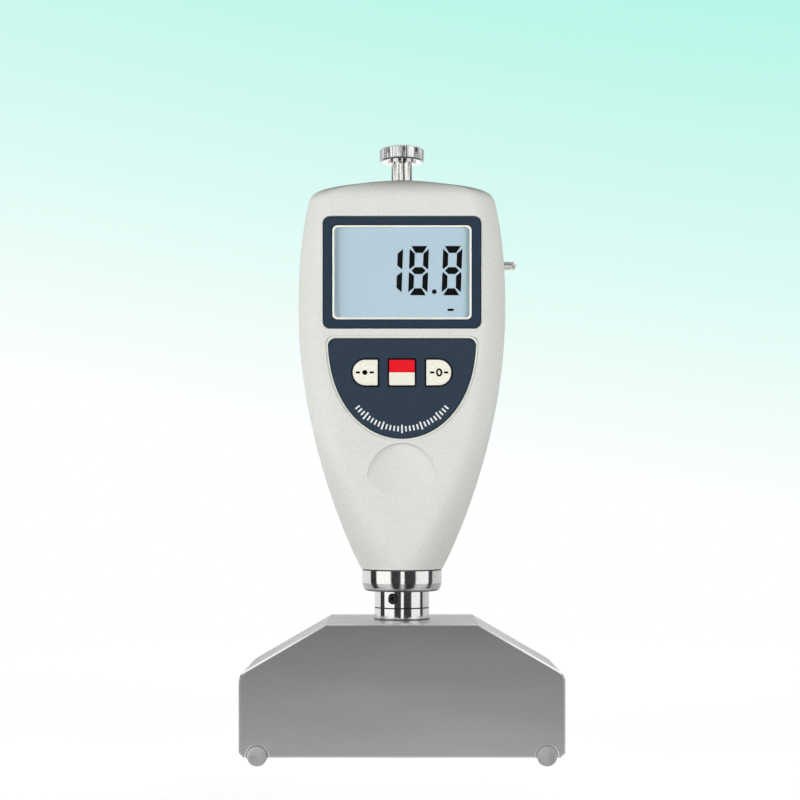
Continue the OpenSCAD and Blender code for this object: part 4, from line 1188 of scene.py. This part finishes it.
def make_knob():
    r = KNOB_HIGH.x
    low, high = KNOB_LOW.z, KNOB_HIGH.z
    bore = POST_R + RUN_GAP
    profile = [
        (bore, low), (r - 1.2, low), (r - 0.45, low), (r, low + 0.45), (r, high - 0.45),
        (r - 0.45, high), (r - 1.2, high), (r - 1.5, high - 0.15), (bore + 0.35, high - 0.15),
        (bore, high - 0.5),
    ]
    obj = lathe("knob_knurled", profile, "clamp_knob", KNOB_RIDGES * 10, wave=knurl)
    settle(obj, sharp=25)
    finish_piece(obj, "polished_steel", "clamp_knob", KNURLED)


def make_strap_post():
    low, tip = STRAP_LOW.x, STRAP_HIGH.x
    r = 1.35
    root = STRAP_ROOT_R
    outside = tip - 4.5
    groove = tip - 1.5
    profile = [
        (0, low), (r + 1.2, low), (r + 1.2, low + 1), (root, low + 1), (root, outside - 0.1),
        (r - 0.1, outside - 0.1), (r, outside), (r, groove), (r - 0.3, groove + 0.05),
        (r - 0.3, groove + 0.35), (r, groove + 0.4), (r, tip - 0.9),
    ]
    dome = [math.radians(10 * i) for i in range(1, 9)]
    profile += [(r * math.cos(a), tip - 0.9 + 0.9 * math.sin(a)) for a in dome]
    profile.append((0, tip))
    obj = lathe("strap_post_turned", profile, "meter_body", 64, TO_X, STRAP_CENTRE)
    settle(obj, sharp=28)
    finish_piece(obj, "polished_steel", "strap_post", SATIN)


# Base block and rods

ROD_R = (ROD_HIGH.z - ROD_LOW.z) / 2
ROD_X = (ROD_HIGH.x + ROD_LOW.x) / 2
ROD_Z = (ROD_HIGH.z + ROD_LOW.z) / 2
BLOCK_D = BLOCK_HIGH.y
BLOCK_BEVEL = 0.55


def block_outline(inset):
    """Block seen from the front, counterclockwise from the lower right, moved inward by inset."""
    low, high = BLOCK_LOW.z, BLOCK_HIGH.z
    half = BLOCK_HIGH.x
    foot = 1.4
    right = [
        ((half - foot, low), 0), ((half, low + foot), 0),
        ((half, ROD_Z + 24.6), 4), ((22.8, high), 0),
    ]
    corners = right + [((-x, z), r) for (x, z), r in reversed(right)]
    points = [Vector(p) for p, _ in corners]
    outline = []
    for i, (_, r) in enumerate(corners):
        p, before, after = points[i], points[i - 1], points[(i + 1) % len(points)]
        a, b = [Vector((d.y, -d.x)).normalized() for d in (p - before, after - p)]
        k = (a + b) / (1 + a.dot(b))
        if not r:
            outline.append(tuple(p - inset * k))
            continue
        centre = p - r * k
        for j in range(13):
            n = (a + (b - a) * j / 12).normalized()
            outline.append(tuple(centre + (r - inset) * n))
    return outline


def make_block():
    bevel_y = BLOCK_D - BLOCK_BEVEL
    levels = ((-BLOCK_D, BLOCK_BEVEL), (-bevel_y, 0), (bevel_y, 0), (BLOCK_D, BLOCK_BEVEL))
    rings = [[(x, y, z) for x, z in block_outline(inset)] for y, inset in levels]
    obj = closed_stack("block_milled", rings)
    r = ROD_R + 0.05
    flare = 0.5
    groove = [
        (0, -BLOCK_D - 1), (r + flare + 1, -BLOCK_D - 1), (r, flare - BLOCK_D),
        (r, BLOCK_D - flare), (r + flare + 1, BLOCK_D + 1), (0, BLOCK_D + 1),
    ]
    for s in (-1, 1):
        cut(obj, lathe("groove", groove, None, 96, TO_Y, (s * ROD_X, 0, ROD_Z)))
    below, above = BLOCK_LOW.z - 1, BLOCK_HIGH.z + 1
    foot_r = 7.5
    foot_z = ROD_Z + 9.5
    bush_top = BLOCK_HIGH.z - 10
    bush_low = bush_top - 6.4
    seat_r = STUB_R + SEAT_GAP
    bore = [
        (0, below), (foot_r, below), (foot_r, foot_z), (SPINDLE_HOLE_R, foot_z),
        (SPINDLE_HOLE_R, bush_low), (BUSH_HOLE_R, bush_low), (BUSH_HOLE_R, bush_top),
        (seat_r, bush_top), (seat_r, above), (0, above),
    ]
    cut(obj, lathe("bore", bore, None, 96))
    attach(obj, "meter_body")
    finishes = (BLOCK, BRIGHT_EDGE, BLOCK_TOP, BLOCK_SLANT, SLANT_EDGE)
    finish_piece(obj, "block_aluminium", "base_block", *finishes)
    # Painted shade: the sides and ends take BLOCK, darkened towards the top, and the slants BLOCK_SLANT,
    # darkened towards the bottom.
    for face in obj.data.polygons:
        near_end = abs(face.center.y) > (bevel_y - 0.01) * MM
        if near_end and 0.2 < abs(face.normal.y) < 0.98:
            face.material_index = 4 if face.normal.z > 0.2 and abs(face.normal.x) > 0.2 else 1
        elif face.normal.z > 0.9:
            face.material_index = 2
        elif face.normal.z > 0.3:
            face.material_index = 3
    settle(obj, 0.1, angle=28, sharp=24)


def make_rod(name, side):
    r, half = ROD_R, ROD_HIGH.y
    profile = [
        (0, -half), (r - 0.45, -half), (r - 0.12, -half + 0.1), (r, -half + 0.4),
        (r, half - 0.4), (r - 0.12, half - 0.1), (r - 0.45, half), (0, half),
    ]
    obj = lathe(name + "_ground", profile, "meter_body", 96, TO_Y, (side * ROD_X, 0, ROD_Z))
    settle(obj, sharp=40)
    finish_piece(obj, "ground_steel", name, ROD)


make_front_shell()
make_rear_shell()
make_battery_door()
make_housing_screws()
make_bezel()
make_window_line()
make_reading()
make_label()
make_scale()
make_key("left_key", -1, KEY_CREAM, "key_cream")
make_key("middle_key", 0, KEY_SPLIT, "key_red")
make_key("right_key", 1, KEY_CREAM, "key_cream")
make_key_marks()
make_collar()
make_barrel()
make_grub_screw()
make_adapter()
make_stand_post()
make_washer()
make_knob()
make_strap_post()
make_block()
make_rod("left_rod", -1)
make_rod("right_rod", 1)
dress_inner_nodes()


# Camera: level, at the photograph's eye height, lens and framing

EYE = (-0.6, -487, 79)
LENS = 70.155
FRAME_RISE = 0.129

camera_data = bpy.data.cameras.new("camera")
camera_data.sensor_width = 36
camera_data.lens = LENS
camera_data.shift_y = FRAME_RISE
camera_data.clip_start = 0.01
camera = bpy.data.objects.new("camera", camera_data)
camera.location = Vector(EYE) * MM
camera.rotation_euler = (math.radians(90), 0, 0)
scene.collection.objects.link(camera)
scene.camera = camera
scene.view_settings.view_transform = "Standard"


# Studio: white floor, pale backdrop, soft lamps, and panels that only gloss can see

def seen_direction(tree):
    return add(tree, "ShaderNodeTexCoord").outputs["Generated"]


def along(tree, vector):
    """How far the seen direction points along vector."""
    inputs = {0: seen_direction(tree), 1: vector}
    return add(tree, "ShaderNodeVectorMath", inputs, operation="DOT_PRODUCT").outputs["Value"]


def calculate(tree, operation, *values):
    """Result of an operation on plain numbers or on what other nodes give."""
    return add(tree, "ShaderNodeMath", dict(enumerate(values)), operation=operation).outputs[0]


def compass(tree):
    """Azimuth of the seen direction: 0.5 in front of the object, 1 and 0 behind it."""
    split = add(tree, "ShaderNodeSeparateXYZ", {"Vector": seen_direction(tree)})
    front = calculate(tree, "MULTIPLY", split.outputs["Y"], -1)
    turn = calculate(tree, "ARCTAN2", split.outputs["X"], front)
    return calculate(tree, "MULTIPLY_ADD", turn, 1 / (2 * math.pi), 0.5)


def mixed(tree, factor, a, b):
    """Colour between a and b, which are sockets or plain colours."""
    inputs = {"Factor": factor, "A": a, "B": b}
    return add(tree, "ShaderNodeMix", inputs, data_type="RGBA").outputs["Result"]


def any_ray(tree, *kinds):
    """1 for a ray of any of these kinds."""
    path = add(tree, "ShaderNodeLightPath")
    total = path.outputs[kinds[0]]
    for kind in kinds[1:]:
        total = calculate(tree, "MAXIMUM", total, path.outputs[kind])
    return total


def mix_shaders(tree, factor, a, b):
    return add(tree, "ShaderNodeMixShader", {0: factor, 1: a.outputs[0], 2: b.outputs[0]})


WHITE = (1, 1, 1, 1)
CEILING = (0.3, 0.3, 0.3, 1)
UNDERSIDE = (0.6, 0.6, 0.6, 1)
FLOOR_GREY = (0.75, 0.75, 0.75, 1)
# The backdrop turns from white to mint along this direction, from the first reach to the second
MINT_WAY = (0.175, 0, 1)
MINT_REACH = (0.03, 0.345)
# How steeply a direction rises where one set of panels gives way to the next
HIGH_FROM = (0.125, 0.145)
KNOB_FROM = (0.208, 0.214)
CEILING_FROM = (0.4, 0.6)
UNDERSIDE_FROM = (-0.8, -0.9)

# Dark and light panels round the object, as polished metal shows them: azimuth and level.
# Azimuth 0 is in front of the object and grows to the right.
LOW_PANELS = (
    (-180, 1.0), (-168, 0.95), (-155, 0.76), (-103, 0.76), (-100, 0.035), (-80, 0.035), (-76, 1.0),
    (-34, 1.0),
    (-30, 0.04), (-5, 0.045), (-2, 1.0), (6, 1.0), (8, 0.04), (38, 0.045), (42, 0.85),
    (80, 0.9), (84, 0.06), (96, 0.05), (100, 0.55), (155, 0.62), (168, 0.95), (180, 1.0),
)
HIGH_PANELS = (
    (-180, 0.06), (-126, 0.06), (-120, 0.9), (-46, 0.95), (-43, 0.05), (-26, 0.05), (-22, 0.95),
    (12, 0.95), (15, 0.05), (33, 0.05), (37, 0.92), (99, 0.9), (103, 0.05), (136, 0.06), (140, 0.8),
    (180, 0.06),
)
KNOB_PANELS = (
    (-180, 0.5), (-114, 0.7), (-108, 0.03), (-66, 0.04), (-60, 1.0), (-10, 1.0), (-6, 0.04), (24, 0.05),
    (29, 1.0), (66, 1.0), (70, 0.04), (92, 0.05), (98, 0.6), (130, 0.6), (134, 0.1), (146, 0.1),
    (150, 0.55), (180, 0.5),
)
# Light by azimuth, for matt surfaces
SOFT_LIGHT = (
    (-180, 0.5), (-110, 0.8), (-60, 1.0), (-15, 0.9), (25, 0.7), (60, 0.6), (90, 0.6), (180, 0.5),
)
SOFT_STRENGTH = 0.8


def panels(world, stops):
    return ramp(world, compass(world.node_tree), [((az + 180) / 360, level) for az, level in stops])


def make_world():
    """White low down that turns pale mint higher up, with panels for gloss and soft light for the rest."""
    world = bpy.data.worlds.new("studio")
    world.use_nodes = True
    scene.world = world
    tree = world.node_tree
    tree.nodes.clear()
    rise = span(tree, along(tree, MINT_WAY), *MINT_REACH)
    sky = ramp(world, rise, [
        (0.0, srgb(255, 255, 255)), (0.12, srgb(247, 254, 252)), (0.45, srgb(222, 251, 245)),
        (0.75, srgb(200, 248, 238)), (1.0, srgb(182, 246, 232)),
    ])
    seen = add(tree, "ShaderNodeBackground", {"Color": sky})
    up = along(tree, (0, 0, 1))
    level = mixed(tree, span(tree, up, *HIGH_FROM), panels(world, LOW_PANELS), panels(world, HIGH_PANELS))
    level = mixed(tree, span(tree, up, *KNOB_FROM), level, panels(world, KNOB_PANELS))
    aside = calculate(tree, "ABSOLUTE", along(tree, (1, 0, 0)))
    ceiling = mixed(tree, span(tree, aside, 0.15, 0.45), CEILING, WHITE)
    level = mixed(tree, span(tree, up, *CEILING_FROM), level, ceiling)
    level = mixed(tree, span(tree, up, *UNDERSIDE_FROM), level, UNDERSIDE)
    shown = add(tree, "ShaderNodeBackground", {"Color": level})
    stops = [(0.0, 0.2), (0.35, 0.6), (0.5, 1.0), (0.55, 0.4), (0.6, 0.0)]
    soft = multiply(world, panels(world, SOFT_LIGHT), ramp(world, span(tree, up, -1, 1), stops))
    light = add(tree, "ShaderNodeBackground", {"Color": soft, "Strength": SOFT_STRENGTH})
    gloss = mix_shaders(tree, any_ray(tree, "Is Glossy Ray"), light, shown)
    final = mix_shaders(tree, any_ray(tree, "Is Camera Ray", "Is Transmission Ray"), gloss, seen)
    add(tree, "ShaderNodeOutputWorld", {"Surface": final.outputs[0]})


FLOOR_SIZE = 3000
FLOOR_LIFT = 0.86
FLOOR_NEAR = 200
FLOOR_FAR = 450


def make_floor():
    """White floor that keeps the object's shadow and fades to plain white with distance."""
    s = FLOOR_SIZE
    corners = [(-s, -s, 0), (s, -s, 0), (s, s, 0), (-s, s, 0)]
    floor = link("floor", mesh_from("floor", corners, [(0, 1, 2, 3)]))
    mat = bpy.data.materials.new("floor_white")
    mat.use_nodes = True
    tree = mat.node_tree
    tree.nodes.clear()
    matte = add(tree, "ShaderNodeBsdfDiffuse", {"Color": FLOOR_GREY})
    white = add(tree, "ShaderNodeEmission")
    lift = add(tree, "ShaderNodeEmission", {"Strength": FLOOR_LIFT})
    near = add(tree, "ShaderNodeAddShader", {0: matte.outputs[0], 1: lift.outputs[0]})
    coords = add(tree, "ShaderNodeTexCoord")
    reach = add(tree, "ShaderNodeVectorMath", {0: coords.outputs["Object"]}, operation="LENGTH")
    inputs = {"Value": reach.outputs["Value"], "From Min": FLOOR_NEAR * MM, "From Max": FLOOR_FAR * MM}
    fade = add(tree, "ShaderNodeMapRange", inputs, interpolation_type="SMOOTHSTEP")
    seen = mix_shaders(tree, fade.outputs["Result"], near, white)
    final = mix_shaders(tree, any_ray(tree, "Is Camera Ray", "Is Transmission Ray"), matte, seen)
    add(tree, "ShaderNodeOutputMaterial", {"Surface": final.outputs[0]})
    floor.data.materials.append(mat)
    floor.visible_glossy = False


def area_light(name, azimuth, distance, z, size, power):
    """Soft lamp aimed at the housing. Azimuth 0 is in front and grows towards +X."""
    data = bpy.data.lights.new(name, "AREA")
    data.shape = "RECTANGLE"
    data.size, data.size_y = size
    data.energy = power
    lamp = bpy.data.objects.new(name, data)
    a = math.radians(azimuth)
    lamp.location = (distance * math.sin(a), -distance * math.cos(a), z)
    aim = Vector((0, 0, 0.1)) - lamp.location
    lamp.rotation_euler = aim.to_track_quat("-Z", "Y").to_euler()
    lamp.visible_glossy = False
    scene.collection.objects.link(lamp)


make_world()
make_floor()
area_light("left_light", -62, 1.4, 0.1, (0.9, 0.2), 15.5)
area_light("right_light", 50, 1.4, 0.1, (0.9, 0.2), 12.4)
area_light("front_light", 0, 1.4, 0.1, (0.5, 0.2), 1.5)
area_light("back_light", 165, 1.5, 0.3, (0.9, 0.5), 10)
